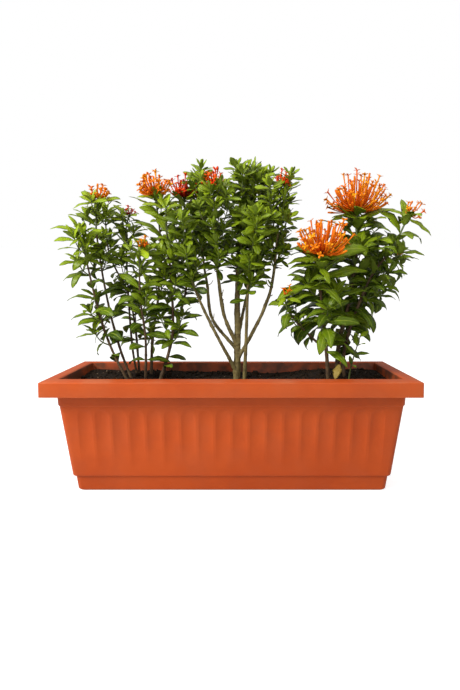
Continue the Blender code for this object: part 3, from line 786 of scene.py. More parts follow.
@dataclass(frozen=True)
class LeafPattern:
    """A leaf's shape: where it is widest, how blunt its tip is, how it folds, droops and waves."""

    stations: tuple[float, ...] = (0.0, 0.07, 0.17, 0.30, 0.44, 0.58, 0.71, 0.83, 0.93)
    widest: float = 0.45
    blunt: float = 0.8
    fold: float = 0.30
    wave: float = 0.08
    thickness: float = 0.45 * MM
    stalk: float = 0.75 * MM

    def half_widths(self, width: float) -> Grid:
        """Returns the half width at each station for a leaf of a given full width."""
        power = math.log(0.5) / math.log(self.widest)
        stations = np.array(self.stations)
        blade = np.sin(math.pi * np.clip(stations, 0.0, 1.0) ** power) ** self.blunt * width / 2
        return np.maximum(blade, self.stalk)

    def faces(self) -> tuple[Faces, list[bool]]:
        """Returns a leaf's faces, and which of them are its underside."""
        rows = len(self.stations)
        top = [[row * 8 + column for column in range(5)] for row in range(rows)]
        low = [[row * 8, row * 8 + 5, row * 8 + 6, row * 8 + 7, row * 8 + 4] for row in range(rows)]
        tip = rows * 8
        faces: Faces = [(top[0][0], *low[0][1:4], *top[0][:0:-1])]
        under = [False]
        for column in range(4):
            for row in range(rows - 1):
                here, ahead = top[row], top[row + 1]
                faces.append((here[column], here[column + 1], ahead[column + 1], ahead[column]))
                here, ahead = low[row], low[row + 1]
                faces.append((here[column + 1], here[column], ahead[column], ahead[column + 1]))
                under += [False, True]
            faces.append((top[-1][column], top[-1][column + 1], tip))
            faces.append((low[-1][column + 1], low[-1][column], tip))
            under += [False, True]
        return faces, under


@dataclass(frozen=True)
class LeafPose:
    """Where a leaf grows and how it hangs: its foot and heading, the way its upper side faces, its bend."""

    foot: Grid
    heading: Grid
    face: Grid
    length: float
    width: float
    droop: float
    twist: float
    phase: float

    def points(self, pattern: LeafPattern) -> Grid:
        """Works out the leaf's points.

        Args:
            pattern: The leaf's shape.

        Returns:
            For each station five points above and three below, then the tip.
        """
        stations = np.array((*pattern.stations, 1.0))
        bends = -self.droop * stations**1.4
        upward = unit(self.face)
        side = np.cross(self.heading, upward)
        ahead = np.cos(bends)[:, None] * self.heading + np.sin(bends)[:, None] * upward
        above = -np.sin(bends)[:, None] * self.heading + np.cos(bends)[:, None] * upward
        steps = (ahead[1:] + ahead[:-1]) / 2 * np.diff(stations)[:, None] * self.length
        middle = self.foot + np.vstack([np.zeros(3), np.cumsum(steps, axis=0)])
        twists = self.twist * stations
        across = np.cos(twists)[:, None] * side + np.sin(twists)[:, None] * above
        normal = -np.sin(twists)[:, None] * side + np.cos(twists)[:, None] * above
        halves = pattern.half_widths(self.width)
        rows = len(pattern.stations)
        columns = np.array((-1.0, -0.5, 0.0, 0.5, 1.0))
        lateral = halves[:, None] * columns * math.sqrt(1 - pattern.fold**2)
        arch = np.abs(columns) * pattern.fold - 0.22 * columns**2
        waves = np.sin(2 * math.pi * (stations[:rows] * 2.2 + self.phase))
        ripple = pattern.wave * waves[:, None] * columns**2
        lift = halves[:, None] * (arch + ripple + 0.05 * columns * math.sin(self.phase * 9))
        spread = lateral[..., None] * across[:rows, None]
        top = middle[:rows, None] + spread + lift[..., None] * normal[:rows, None]
        thickness = pattern.thickness * np.array((0.75, 1.5, 0.75))[None, :, None]
        low = top[:, 1:4] - thickness * normal[:rows, None]
        return np.vstack([np.concatenate([top, low], axis=1).reshape(-1, 3), middle[-1]])


class Thicket:
    """Keeps leaves from growing through each other: a tree of all earlier leaves, renewed now and then."""

    RENEW = 48

    def __init__(self) -> None:
        """Starts empty, with the part's box grown a little as its limits."""
        low, high = (np.array(corner) for corner in CAD_BOUNDS)
        room = (high - low) * 0.018 + 5 * MM
        self.low, self.high = low - room, high + room
        self.low[2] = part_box("planter_box")[1][2] + 5 * MM
        self.points: list[Grid] = []
        self.faces: list[tuple[int, int, int]] = []
        self.tree: BVHTree | None = None
        self.recent: list[tuple[Grid, Grid, BVHTree]] = []

    @staticmethod
    def outline(points: Grid, rows: int) -> tuple[Grid, list[tuple[int, int, int]]]:
        """Simplifies a leaf.

        Args:
            points: The leaf's points.
            rows: Its number of stations.

        Returns:
            The points and faces of its outline, drawn in a little: four rows of three points.
        """
        picks = [int(round(share * (rows - 1))) for share in (0.25, 0.5, 0.75, 1.0)]
        chosen = []
        for row in picks:
            left, centre, right = points[row * 8], points[row * 8 + 2], points[row * 8 + 4]
            chosen += [centre + (left - centre) * 0.85, centre, centre + (right - centre) * 0.85]
        faces = []
        for row in range(3):
            for column in range(2):
                a = row * 3 + column
                faces += [(a, a + 1, a + 4), (a, a + 4, a + 3)]
        return np.array(chosen), faces

    def admits(self, points: Grid, rows: int) -> bool:
        """Tells whether a leaf has room, and remembers it if so.

        Args:
            points: The leaf's points.
            rows: Its number of stations.

        Returns:
            Whether it stays inside the limits and clear of every earlier leaf.
        """
        if (points < self.low).any() or (points > self.high).any():
            return False
        outline, faces = self.outline(points, rows)
        mine = BVHTree.FromPolygons([Vector(p) for p in outline], faces)
        low, high = outline.min(axis=0), outline.max(axis=0)
        if self.tree is not None and self.tree.overlap(mine):
            return False
        for other_low, other_high, other in self.recent:
            if (low < other_high).all() and (high > other_low).all() and other.overlap(mine):
                return False
        self.recent.append((low, high, mine))
        start = sum(len(p) for p in self.points)
        self.points.append(outline)
        self.faces += [tuple(k + start for k in face) for face in faces]
        if len(self.recent) >= self.RENEW:
            self.tree = BVHTree.FromPolygons([Vector(p) for p in np.concatenate(self.points)], self.faces)
            self.recent = []
        return True


@dataclass(frozen=True)
class Habit:
    """How a shrub's shoots grow. Lengths are in metres and angles in radians."""

    pattern: LeafPattern
    leaf_length: float
    leaf_width: float
    internode: float
    lift_low: float
    lift_high: float
    droop: float
    twig_chance: float
    twig_length: float
    twig_lift: float
    rosette: int
    green_from: float
    youth_and_light: float


LEFT_HABIT = Habit(
    pattern=LeafPattern(widest=0.52, blunt=0.76, fold=0.20, wave=0.10),
    leaf_length=50 * MM, leaf_width=16.5 * MM, internode=23 * MM, lift_low=0.20, lift_high=0.90,
    droop=1.35, twig_chance=0.36, twig_length=38 * MM, twig_lift=0.75, rosette=6, green_from=0.72,
    youth_and_light=0.75,
)
CENTRE_HABIT = Habit(
    pattern=LeafPattern(widest=0.60, blunt=0.68, fold=0.20, wave=0.07),
    leaf_length=38 * MM, leaf_width=16.5 * MM, internode=15 * MM, lift_low=0.25, lift_high=0.85,
    droop=0.50, twig_chance=0.95, twig_length=50 * MM, twig_lift=0.72, rosette=8, green_from=0.62,
    youth_and_light=0.65,
)
RIGHT_HABIT = Habit(
    pattern=LeafPattern(widest=0.48, blunt=0.80, fold=0.20, wave=0.13, thickness=0.55 * MM, stalk=0.95 * MM),
    leaf_length=78 * MM, leaf_width=27 * MM, internode=20 * MM, lift_low=-0.05, lift_high=0.80,
    droop=1.65, twig_chance=0.36, twig_length=48 * MM, twig_lift=0.7, rosette=6, green_from=0.66,
    youth_and_light=0.5,
)
SPROUT_HABIT = Habit(
    pattern=LeafPattern(widest=0.42, blunt=0.9, fold=0.15, wave=0.06),
    leaf_length=30 * MM, leaf_width=10 * MM, internode=19 * MM, lift_low=0.45, lift_high=0.8,
    droop=0.5, twig_chance=0.0, twig_length=0.0, twig_lift=0.0, rosette=2, green_from=0.0, youth_and_light=0.6,
)


# ----------------------------------------------------------------------------------- stems and wood


@dataclass(frozen=True)
class StemPlan:
    """One stem: its radii and route in millimetres, where its shoot and leaves start, its leaves' size."""

    foot: float
    tip: float
    bare: float
    leaves_from: float
    points: tuple[Triple, ...]
    leaf_size: float = 1.0

    def route(self) -> Route:
        """Returns the stem's route in metres."""
        return Route([(x * MM, y * MM, z * MM) for x, y, z in self.points])

    def radius(self, share: float) -> float:
        """Returns the stem's radius at a share of its length."""
        return between(self.foot, self.tip, share) * MM


LEFT_STEMS = {
    "1": StemPlan(
        2.4, 1.3, 0.42, 0.18,
        ((-164, -30, 150), (-206, -31, 240), (-228, -32, 320), (-243, -34, 400), (-250, -35, 436)),
    ),
    "2": StemPlan(
        2.4, 1.3, 0.50, 0.34,
        ((-166, -10, 150), (-198, -9, 240), (-220, -5, 340), (-232, -2, 440), (-227, 0, 488)),
    ),
    "3": StemPlan(
        2.2, 1.3, 0.46, 0.30,
        ((-166, 10, 150), (-181, 18, 230), (-188, 25, 350), (-190, 33, 440), (-184, 40, 470)),
    ),
    "4": StemPlan(
        2.4, 1.3, 0.40, 0.28,
        ((-170, 24, 150), (-178, 30, 270), (-193, 36, 335), (-224, 43, 400), (-232, 50, 478)),
    ),
    "5": StemPlan(
        2.6, 1.3, 0.36, 0.26,
        ((-152, -20, 150), (-146, -33, 250), (-150, -46, 320), (-147, -58, 380), (-141, -68, 404)),
    ),
    "6": StemPlan(
        3.0, 1.5, 0.44, 0.30,
        ((-149, 12, 150), (-144, 16, 250), (-133, 18, 320), (-126, 14, 424), (-131, 4, 496)),
    ),
    "7": StemPlan(
        3.2, 1.5, 0.34, 0.17,
        ((-136, -15, 150), (-104, -21, 252), (-101, -28, 340), (-106, -34, 420), (-106, -40, 470)),
    ),
    "8": StemPlan(
        2.6, 1.4, 0.46, 0.28,
        ((-136, 28, 150), (-114, 36, 240), (-86, 44, 336), (-84, 48, 428), (-88, 52, 500)),
    ),
}
CENTRE_STEMS = {
    "main": StemPlan(
        7.0, 1.8, 0.56, 0.52,
        ((6, 0, 150), (9, 0, 240), (9, 0, 335), (14, 0, 440), (24, 0, 538)), 0.95,
    ),
    "1": StemPlan(
        3.2, 1.5, 0.50, 0.55,
        ((6, -2, 195), (-24, -20, 254), (-55, -32, 321), (-70, -42, 372), (-78, -50, 440)),
    ),
    "2": StemPlan(
        3.0, 1.5, 0.42, 0.48,
        ((7, 2, 232), (-36, 12, 285), (-45, 20, 345), (-53, 30, 400), (-57, 40, 534)), 0.95,
    ),
    "3": StemPlan(
        3.6, 1.5, 0.40, 0.44,
        ((8, -3, 240), (-13, -12, 290), (-22, -24, 349), (-26, -38, 400), (-28, -54, 502)), 0.9,
    ),
    "4": StemPlan(
        2.8, 1.5, 0.44, 0.42,
        ((9, 4, 245), (22, 20, 312), (32, 32, 350), (42, 44, 426), (52, 54, 544)),
    ),
    "5": StemPlan(
        3.4, 1.5, 0.42, 0.47,
        ((8, -1, 212), (35, -9, 262), (55, -17, 305), (70, -24, 362), (81, -32, 505)), 0.9,
    ),
    "6": StemPlan(
        3.6, 1.5, 0.46, 0.55,
        ((20, -2, 150), (24, -16, 250), (27, -34, 340), (34, -50, 400), (42, -62, 455)),
    ),
}
RIGHT_STEMS = {
    "1": StemPlan(
        3.8, 1.6, 0.46, 0.34,
        ((170, -20, 150), (159, -32, 244), (146, -46, 330), (143, -56, 376), (145, -62, 392)),
    ),
    "2": StemPlan(
        4.6, 1.7, 0.34, 0.20,
        ((189, 8, 150), (190, 10, 238), (206, 10, 314), (216, 12, 400), (217, 18, 470)),
    ),
    "3": StemPlan(
        3.2, 1.5, 0.34, 0.28,
        ((201, -4, 150), (198, -5, 237), (234, -10, 350), (271, -15, 407), (294, -20, 458)), 0.80,
    ),
    "4": StemPlan(
        2.2, 1.3, 0.24, 0.30,
        ((161, -30, 234), (133, -38, 258), (100, -46, 292), (88, -54, 314), (89, -60, 328)), 0.52,
    ),
    "5": StemPlan(
        3.0, 1.5, 0.36, 0.32,
        ((200, 26, 150), (209, 38, 260), (252, 46, 340), (284, 52, 384), (304, 58, 398)), 0.85,
    ),
}


@dataclass
class Cane:
    """A thin woody stem with swollen joints, from under the soil up to its leafy shoot."""

    name: str
    plan: StemPlan
    bark: bpy.types.Material
    branches: tuple[StemPlan, ...] = ()
    joint_every: float = 17 * MM
    ring_every: float = 2.6 * MM
    sides: int = 12
    flare: float = 0.35

    def shell(self, plan: StemPlan, from_fork: bool) -> Sculpture:
        """Returns the tube of one stem's woody part, as a sculpture of its own."""
        made = Sculpture(self.name, [self.bark])
        route = plan.route()
        end = route.length * plan.bare
        rings = max(8, int(end / self.ring_every))
        lengths, radii = [], []
        for k in range(rings + 1):
            length = end * k / rings
            joint = math.exp(-(((length % self.joint_every) - self.joint_every / 2) / (1.6 * MM)) ** 2)
            near_foot = math.exp(-length / (9 * MM)) if from_fork else 0.0
            lengths.append(length)
            radii.append(plan.radius(length / route.length) * (1 + 0.13 * joint + self.flare * near_foot))
        add_tube(made, route, lengths, radii, self.sides, roughness=0.16)
        return made

    def build(self) -> bpy.types.Object:
        """Returns the wood as one object. Branches are joined to it by a union."""
        wood = self.shell(self.plan, False).build()
        for branch in self.branches:
            other = self.shell(branch, True).build()
            union = wood.modifiers.new("fork", "BOOLEAN")
            union.operation, union.solver, union.object = "UNION", "EXACT", other
            bake(wood)
            bpy.data.objects.remove(other)
        return wood


def bake(piece: bpy.types.Object) -> None:
    """Applies a piece's modifiers to its mesh."""
    graph = bpy.context.evaluated_depsgraph_get()
    shaped = bpy.data.meshes.new_from_object(piece.evaluated_get(graph))
    piece.modifiers.clear()
    old, piece.data = piece.data, shaped
    shaped.name = piece.name
    bpy.data.meshes.remove(old)
    shaped.polygons.foreach_set("use_smooth", [True] * len(shaped.polygons))


@dataclass
class Trunk(Cane):
    """The centre shrub's trunk: its forks are filleted, then bark ridges and dead twigs are added."""

    grain: float = 0.9 * MM
    ridge: float = 0.45 * MM
    stubs: int = 22

    def build(self) -> bpy.types.Object:
        """Returns the trunk with its branches as one object."""
        wood = super().build()
        remesh = wood.modifiers.new("fillet", "REMESH")
        remesh.mode, remesh.voxel_size = "VOXEL", self.grain
        soften = wood.modifiers.new("soften", "SMOOTH")
        soften.factor, soften.iterations = 0.5, 3
        bake(wood)
        self.raise_bark(wood.data)
        self.add_stubs(wood)
        return wood

    def raise_bark(self, mesh: bpy.types.Mesh) -> None:
        """Moves the surface in and out in lengthwise ridges and small knots."""
        places = [vertex.co.copy() for vertex in mesh.vertices]
        outwards = [vertex.normal.copy() for vertex in mesh.vertices]
        moved = []
        for place, outward in zip(places, outwards):
            spot = place / (2.6 * MM)
            ridge = noise.noise(Vector((spot.x, spot.y, spot.z * 0.22)))
            knot = max(0.0, noise.noise(place / (9 * MM)) - 0.25)
            moved.extend(place + outward * (self.ridge * ridge + 2.2 * self.ridge * knot + 0.12 * MM))
        mesh.vertices.foreach_set("co", moved)
        mesh.update()

    def add_stubs(self, wood: bpy.types.Object) -> None:
        """Adds short dead twigs that point up and out."""
        dice = random.Random(77)
        twigs = Sculpture("dead_twigs", [self.bark])
        for _ in range(self.stubs):
            plan = dice.choice((self.plan, *self.branches))
            route = plan.route()
            length = route.length * dice.uniform(0.30, 0.62)
            place, heading = route.at(length)
            out = Axil(place, heading, dice.uniform(0, 2 * math.pi), 0.0).outward()
            reach = dice.uniform(5, 19) * MM
            bend = heading * 0.75 + out
            points = [place, place + out * 0.5 * reach + heading * 0.2 * reach, place + unit(bend) * reach]
            twig = Route(points)
            lengths = [twig.length * k / 5 for k in range(6)]
            thin = dice.uniform(0.5, 0.85) * MM
            add_tube(twigs, twig, lengths, [thin * (1.5 - 0.14 * k) for k in range(6)], 6, roughness=0.2)
        join(wood, twigs.build())


def join(piece: bpy.types.Object, other: bpy.types.Object) -> None:
    """Adds another object's shells to a piece's mesh and removes the other object."""
    both = bmesh.new()
    both.from_mesh(piece.data)
    both.from_mesh(other.data)
    both.to_mesh(piece.data)
    both.free()
    bpy.data.objects.remove(other)
    piece.data.polygons.foreach_set("use_smooth", [True] * len(piece.data.polygons))


# ------------------------------------------------------------------------------------- leafy shoots


@dataclass(frozen=True)
class Axil:
    """Where a leaf or a twig springs: a point on the stem's middle line, and the turn about the stem."""

    place: Grid
    heading: Grid
    around: float
    radius: float

    def outward(self, extra: float = 0.0) -> Grid:
        """Returns the direction square to the stem at the axil's turn and an extra one."""
        level = square_to(np.array((1.0, 0.0, 0.0)), self.heading)
        return turned(level, self.heading, self.around + extra)


@dataclass
class LeafyShoot:
    """A shoot's green stem with its pairs of leaves, side twigs and end rosettes."""

    name: str
    plan: StemPlan
    habit: Habit
    palette: Palette
    bark: bpy.types.Material
    thicket: Thicket
    dice: random.Random
    flowers: bool = False
    leaf_count: int = 0

    def build(self) -> bpy.types.Object:
        """Returns the shoot as one object."""
        self.sculpture = Sculpture(self.name, [self.palette.leaf, self.palette.green_stem, self.bark])
        self.faces = self.habit.pattern.faces()
        self.route = self.plan.route()
        self.grow_core()
        self.grow_pairs()
        self.grow_rosette(self.route, self.habit.leaf_length * 0.9, self.plan.tip * MM, self.flowers)
        LOG.info("%s: %d leaves", self.name, self.leaf_count)
        return self.sculpture.build()

    def grow_core(self) -> None:
        """Adds the stem's own tube: bark first, green further up."""
        whole = self.route.length
        change = between(self.plan.bare, 1.0, self.habit.green_from)
        for start, end, finish in ((self.plan.bare, change, 2), (change, 1.0, 1)):
            rings = max(4, int((end - start) * whole / (4 * MM)))
            shares = [between(start, end, k / rings) for k in range(rings + 1)]
            radii = [self.plan.radius(share) * (1.0 if finish == 2 else 0.96) for share in shares]
            lengths = [share * whole for share in shares]
            add_tube(self.sculpture, self.route, lengths, radii, 8, roughness=0.12, finish=finish)

    def grow_pairs(self) -> None:
        """Adds leaves in crossed pairs up the stem, with side twigs in some axils."""
        habit, dice = self.habit, self.dice
        whole = self.route.length
        start, length = whole * self.plan.leaves_from, whole * self.plan.leaves_from
        turn = dice.uniform(0, math.pi)
        while length < whole - 0.35 * habit.internode:
            share = (length - start) / (whole - start)
            place, heading = self.route.at(length)
            sparse = share < 0.22
            for half in (0.0, math.pi):
                around = turn + half + dice.uniform(-0.25, 0.25)
                lift = between(habit.lift_low, habit.lift_high, share) + dice.uniform(-0.22, 0.22)
                size = between(0.92, 1.05, math.sin(math.pi * share)) * dice.uniform(0.78, 1.1)
                axil = Axil(place, heading, around, self.plan.radius(length / whole))
                if not sparse or dice.random() < 0.6:
                    self.grow_leaf(axil, lift, size * habit.leaf_length, self.age(share, 0.0))
                if 0.1 < share < 0.93 and dice.random() < habit.twig_chance * (0.8 if sparse else 1.0):
                    reach = habit.twig_length * dice.uniform(0.6, 1.25) * (1.0 - 0.35 * share)
                    self.grow_twig(axil, reach, share)
            length += habit.internode * dice.uniform(0.82, 1.15) * (1 - 0.30 * share)
            turn += math.pi / 2 + dice.uniform(-0.2, 0.2)

    def age(self, share: float, out: float) -> float:
        """Returns a leaf's age from 0, youngest and palest, to 1, for its place up the shoot and out along a
        twig.
        """
        # Leaves high up and far out along twigs are made younger, so paler, partly as painted light through
        # the top leaves.
        young_and_lit = self.habit.youth_and_light * max(0.0, (share - 0.35) / 0.65) ** 1.5
        age = 1.0 - young_and_lit - 0.30 * out * self.habit.youth_and_light + self.dice.uniform(-0.15, 0.15)
        return min(1.0, max(0.0, age))

    def grow_twig(self, axil: Axil, reach: float, share: float) -> None:
        """Adds a side twig with its own pairs of leaves and a rosette.

        Args:
            axil: Where it leaves the stem.
            reach: Its length.
            share: How far up the leafy part it stands, from 0 to 1.
        """
        dice, habit = self.dice, self.habit
        place, heading = axil.place, axil.heading
        lift = habit.twig_lift + dice.uniform(-0.2, 0.2)
        first = math.cos(lift) * axil.outward() + math.sin(lift) * heading
        end = place + first * reach * 0.72 + (0.55 * UP + 0.45 * heading) * reach * 0.34
        if (end < self.thicket.low + 12 * MM).any() or (end > self.thicket.high - 12 * MM).any():
            return
        route = Route([place, place + first * reach * 0.45, end])
        thin, tip = min(axil.radius * 0.7, 1.3 * MM), 0.75 * MM
        rings = max(4, int(route.length / (4 * MM)))
        lengths = [route.length * k / rings for k in range(rings + 1)]
        radii = [between(thin, tip, k / rings) for k in range(rings + 1)]
        add_tube(self.sculpture, route, lengths, radii, 6, roughness=0.1, finish=1)
        spacing = habit.internode * 0.72
        length, turn = spacing * 0.75, dice.uniform(0, math.pi)
        while length < route.length - 0.5 * spacing:
            here, along = route.at(length)
            for half in (0.0, math.pi):
                size = habit.leaf_length * dice.uniform(0.6, 0.85)
                lift = dice.uniform(0.35, 0.8)
                self.grow_leaf(Axil(here, along, turn + half, thin * 0.8), lift, size, self.age(share, 0.5))
            length += spacing * dice.uniform(0.85, 1.15)
            turn += math.pi / 2
        self.grow_rosette(route, habit.leaf_length * dice.uniform(0.58, 0.80), tip, False, share)

    def grow_rosette(
        self, route: Route, size: float, radius: float, open_flat: bool, share: float = 1.0
    ) -> None:
        """Adds the upright whorl of leaves at a shoot's end.

        Args:
            route: The shoot's route.
            size: The leaves' length.
            radius: The shoot's radius at its end.
            open_flat: Whether the whorl is spread wide, as under a flower head.
            share: How far up the plant it stands, for its leaves' age.
        """
        dice, habit = self.dice, self.habit
        turn, fresh = dice.uniform(0, math.pi), dice.uniform(-0.25, 0.25)
        for level in range(habit.rosette // 2):
            place, heading = route.at(route.length - (habit.rosette // 2 - level) * 2.0 * MM)
            rise = level / max(1, habit.rosette // 2 - 1)
            for half in (0.0, math.pi):
                lift = between(0.45, 1.25, rise) if not open_flat else between(0.05, 0.35, rise)
                length = size * between(1.0, 0.62, rise) * dice.uniform(0.88, 1.1)
                # Upper leaves of each whorl are made younger and paler, partly as painted light.
                age = self.age(share, 1.0) + fresh - 0.35 * rise * habit.youth_and_light
                around = turn + half + dice.uniform(-0.15, 0.15)
                lift += dice.uniform(-0.12, 0.12)
                self.grow_leaf(Axil(place, heading, around, radius), lift, length, age)
            turn += math.pi / 2 + dice.uniform(-0.2, 0.2)

    def grow_leaf(self, axil: Axil, lift: float, length: float, age: float) -> None:
        """Adds a leaf where it has room. It is tried at a few slightly different angles.

        Args:
            axil: Where it springs from.
            lift: How far it is raised from square to the stem, in radians.
            length: Its length.
            age: 0 for youngest and palest, 1 for old.
        """
        dice, habit = self.dice, self.habit
        length *= self.plan.leaf_size
        width = length * habit.leaf_width / habit.leaf_length * dice.uniform(0.88, 1.12)
        for attempt in range(5):
            spread = 0.12 + 0.22 * attempt
            out = axil.outward(dice.uniform(-spread, spread))
            raised = lift + dice.uniform(-spread, spread)
            ahead = unit(math.cos(raised) * out + math.sin(raised) * (0.75 * axil.heading + 0.25 * UP))
            adaxial = axil.heading * math.cos(raised) - out * math.sin(raised)
            face = square_to(adaxial * 0.55 + UP * 0.45 + 0.72 * LIGHTWARD, ahead)
            pose = LeafPose(
                foot=axil.place + out * axil.radius * 0.5,
                heading=ahead,
                face=face,
                length=length * (1 - 0.06 * attempt),
                width=width,
                droop=habit.droop * dice.uniform(0.55, 1.35) * (0.5 + 0.5 * age),
                twist=dice.uniform(-0.6, 0.6),
                phase=dice.random(),
            )
            points = pose.points(habit.pattern)
            if self.thicket.admits(points, len(habit.pattern.stations)):
                self.sculpture.add(points, self.faces[0], *self.dress_leaf(age), self.faces[1])
                self.leaf_count += 1
                return

    def dress_leaf(self, age: float) -> tuple[Grid, Grid]:
        """Returns a leaf's mark colours and map places."""
        stations = self.habit.pattern.stations
        marks = np.zeros((len(stations) * 8 + 1, 3))
        marks[:, 0] = self.dice.random()
        marks[:, 1] = min(1.0, max(0.0, age))
        across = (0.0, 0.25, 0.5, 0.75, 1.0, 0.25, 0.5, 0.75)
        places = [(u, v) for v in stations for u in across] + [(0.5, 1.0)]
        return marks, np.array(places)


# ------------------------------------------------------------------------------------- flower heads


@dataclass
class FlowerHead:
    """A head of long thin florets that fan up from one point. Some are open, the rest in bud."""

    name: str
    plan: StemPlan
    finish: bpy.types.Material
    green: bpy.types.Material
    radius: float
    height: float
    florets: int
    lean: Triple
    dice: random.Random
    open_share: float = 0.6
    tube_radius: float = 1.05 * MM
    petal_length: float = 7.2 * MM
    petal_width: float = 4.2 * MM
    open_swell: tuple[float, ...] = (0.85, 0.8, 0.8, 0.8, 0.85, 0.9, 1.05, 1.35)
    bud_swell: tuple[float, ...] = (0.9, 0.8, 0.8, 0.85, 0.95, 1.2, 1.9, 1.5)

    def build(self) -> bpy.types.Object:
        """Returns the head as one object."""
        self.sculpture = Sculpture(self.name, [self.finish, self.green])
        self.centre, heading = self.plan.route().at(self.plan.route().length)
        self.axis = unit(0.35 * heading + np.array(self.lean))
        self.first = square_to(np.array((1.0, 0.0, 0.0)), self.axis)
        self.second = np.cross(self.axis, self.first)
        self.grow_stalks()
        golden = math.pi * (3 - math.sqrt(5))
        for k in range(self.florets):
            share = (k + 0.5) / self.florets
            lean = math.acos(1 - 0.90 * share) * self.dice.uniform(0.82, 1.06)
            self.grow_floret(lean, k * golden + self.dice.uniform(-0.4, 0.4))
        return self.sculpture.build()

    def toward(self, lean: float, turn: float) -> Grid:
        """Returns the direction that leans from the head's axis by an angle and is turned about it."""
        out = math.cos(turn) * self.first + math.sin(turn) * self.second
        return math.cos(lean) * self.axis + math.sin(lean) * out

    def grow_stalks(self) -> None:
        """Adds the short green stalks that the florets spring from."""
        reach = min(7 * MM, 0.3 * self.radius)
        count = max(3, self.florets // 6)
        for k in range(count):
            end = self.centre + self.toward(0.25 + 0.55 * (k % 2), k * 2 * math.pi / count) * reach
            middle = (self.centre + end) / 2 - self.axis * 0.5 * MM
            route = Route([self.centre - self.axis * 2 * MM, middle, end])
            lengths = [route.length * j / 4 for j in range(5)]
            radii = [radius * MM for radius in (0.95, 0.9, 0.8, 0.8, 0.9)]
            add_tube(self.sculpture, route, lengths, radii, 6, finish=1)

    def grow_floret(self, lean: float, turn: float) -> None:
        """Adds one floret: a thin curved tube that ends in petals or in a bud."""
        dice = self.dice
        sin, cos = math.sin(lean) / self.radius, math.cos(lean) / self.height
        reach = dice.uniform(0.76, 1.07) / math.sqrt(sin * sin + cos * cos)
        opened = dice.random() < self.open_share
        reach *= 1.0 if opened else dice.uniform(0.7, 1.0)
        start = self.centre + self.toward(lean * 0.9, turn) * min(6 * MM, 0.25 * self.radius)
        end = self.centre + self.toward(lean, turn) * (reach - (2.5 * MM if opened else 3.5 * MM))
        outward = self.toward(min(1.6, lean * 1.22 + 0.12), turn)
        knee = start + outward * 0.55 * reach + dice.uniform(-1, 1) * 0.03 * reach * self.second
        route = Route([start, (start + knee) / 2, knee * 0.62 + (start + end) * 0.19, end])
        swells = self.open_swell if opened else self.bud_swell
        rings = len(swells) - 1
        lengths = [route.length * k / rings for k in range(rings + 1)]
        radii = [self.tube_radius * swell for swell in swells]
        tint = dice.random()
        marks = [(0.85 * (k / rings) ** 1.3, tint, 0.0 if opened else 0.75) for k in range(rings + 1)]
        add_tube(self.sculpture, route, lengths, radii, 5, marks)
        if opened:
            self.grow_petals(*route.at(route.length), tint)

    def grow_petals(self, place: Grid, heading: Grid, tint: float) -> None:
        """Adds four spreading petals to a floret's end."""
        dice = self.dice
        size = dice.uniform(0.8, 1.15)
        first = turned(square_to(np.array((0.3, 0.5, 0.8)), heading), heading, dice.uniform(0, math.pi))
        for k in range(4):
            out = turned(first, heading, k * math.pi / 2 + dice.uniform(-0.15, 0.15))
            self.grow_petal(place, unit(out + heading * dice.uniform(0.2, 1.3)), heading, size, tint)

    def grow_petal(self, place: Grid, ahead: Grid, face: Grid, size: float, tint: float) -> None:
        """Adds one thin petal: pointed, widest past its middle, a little hollow.

        Args:
            place: The petal's foot.
            ahead: The way it points.
            face: The way its upper side faces.
            size: Its size as a share of the usual.
            tint: The floret's own tint.
        """
        upward = square_to(face, ahead)
        side = np.cross(ahead, upward)
        length, half, thin = self.petal_length * size, self.petal_width * size / 2, 0.22 * MM
        rows = ((0.0, 0.30), (0.35, 0.80), (0.68, 1.0), (1.0, 0.0))
        points = []
        for share, width in rows[:3]:
            middle = place + ahead * length * share - upward * 0.9 * MM * share * share * size
            edge = upward * (0.35 * MM * width)
            points += [middle - side * half * width + edge, middle, middle + side * half * width + edge]
            points.append(middle - upward * thin * 2)
        points.append(place + ahead * length - upward * 1.3 * MM * size)
        faces: Faces = [(0, 3, 2, 1)]
        for row in (0, 4):
            faces += [(row, row + 1, row + 5, row + 4), (row + 1, row + 2, row + 6, row + 5)]
            faces += [(row + 3, row, row + 4, row + 7), (row + 2, row + 3, row + 7, row + 6)]
        faces += [(8, 9, 12), (9, 10, 12), (11, 8, 12), (10, 11, 12)]
        marks = np.array([(0.85 + 0.15 * min(1.0, k / 8), tint, 0.0) for k in range(13)])
        self.sculpture.add(np.array(points), faces, marks)


# --------------------------------------------------------------------------------------- the trough


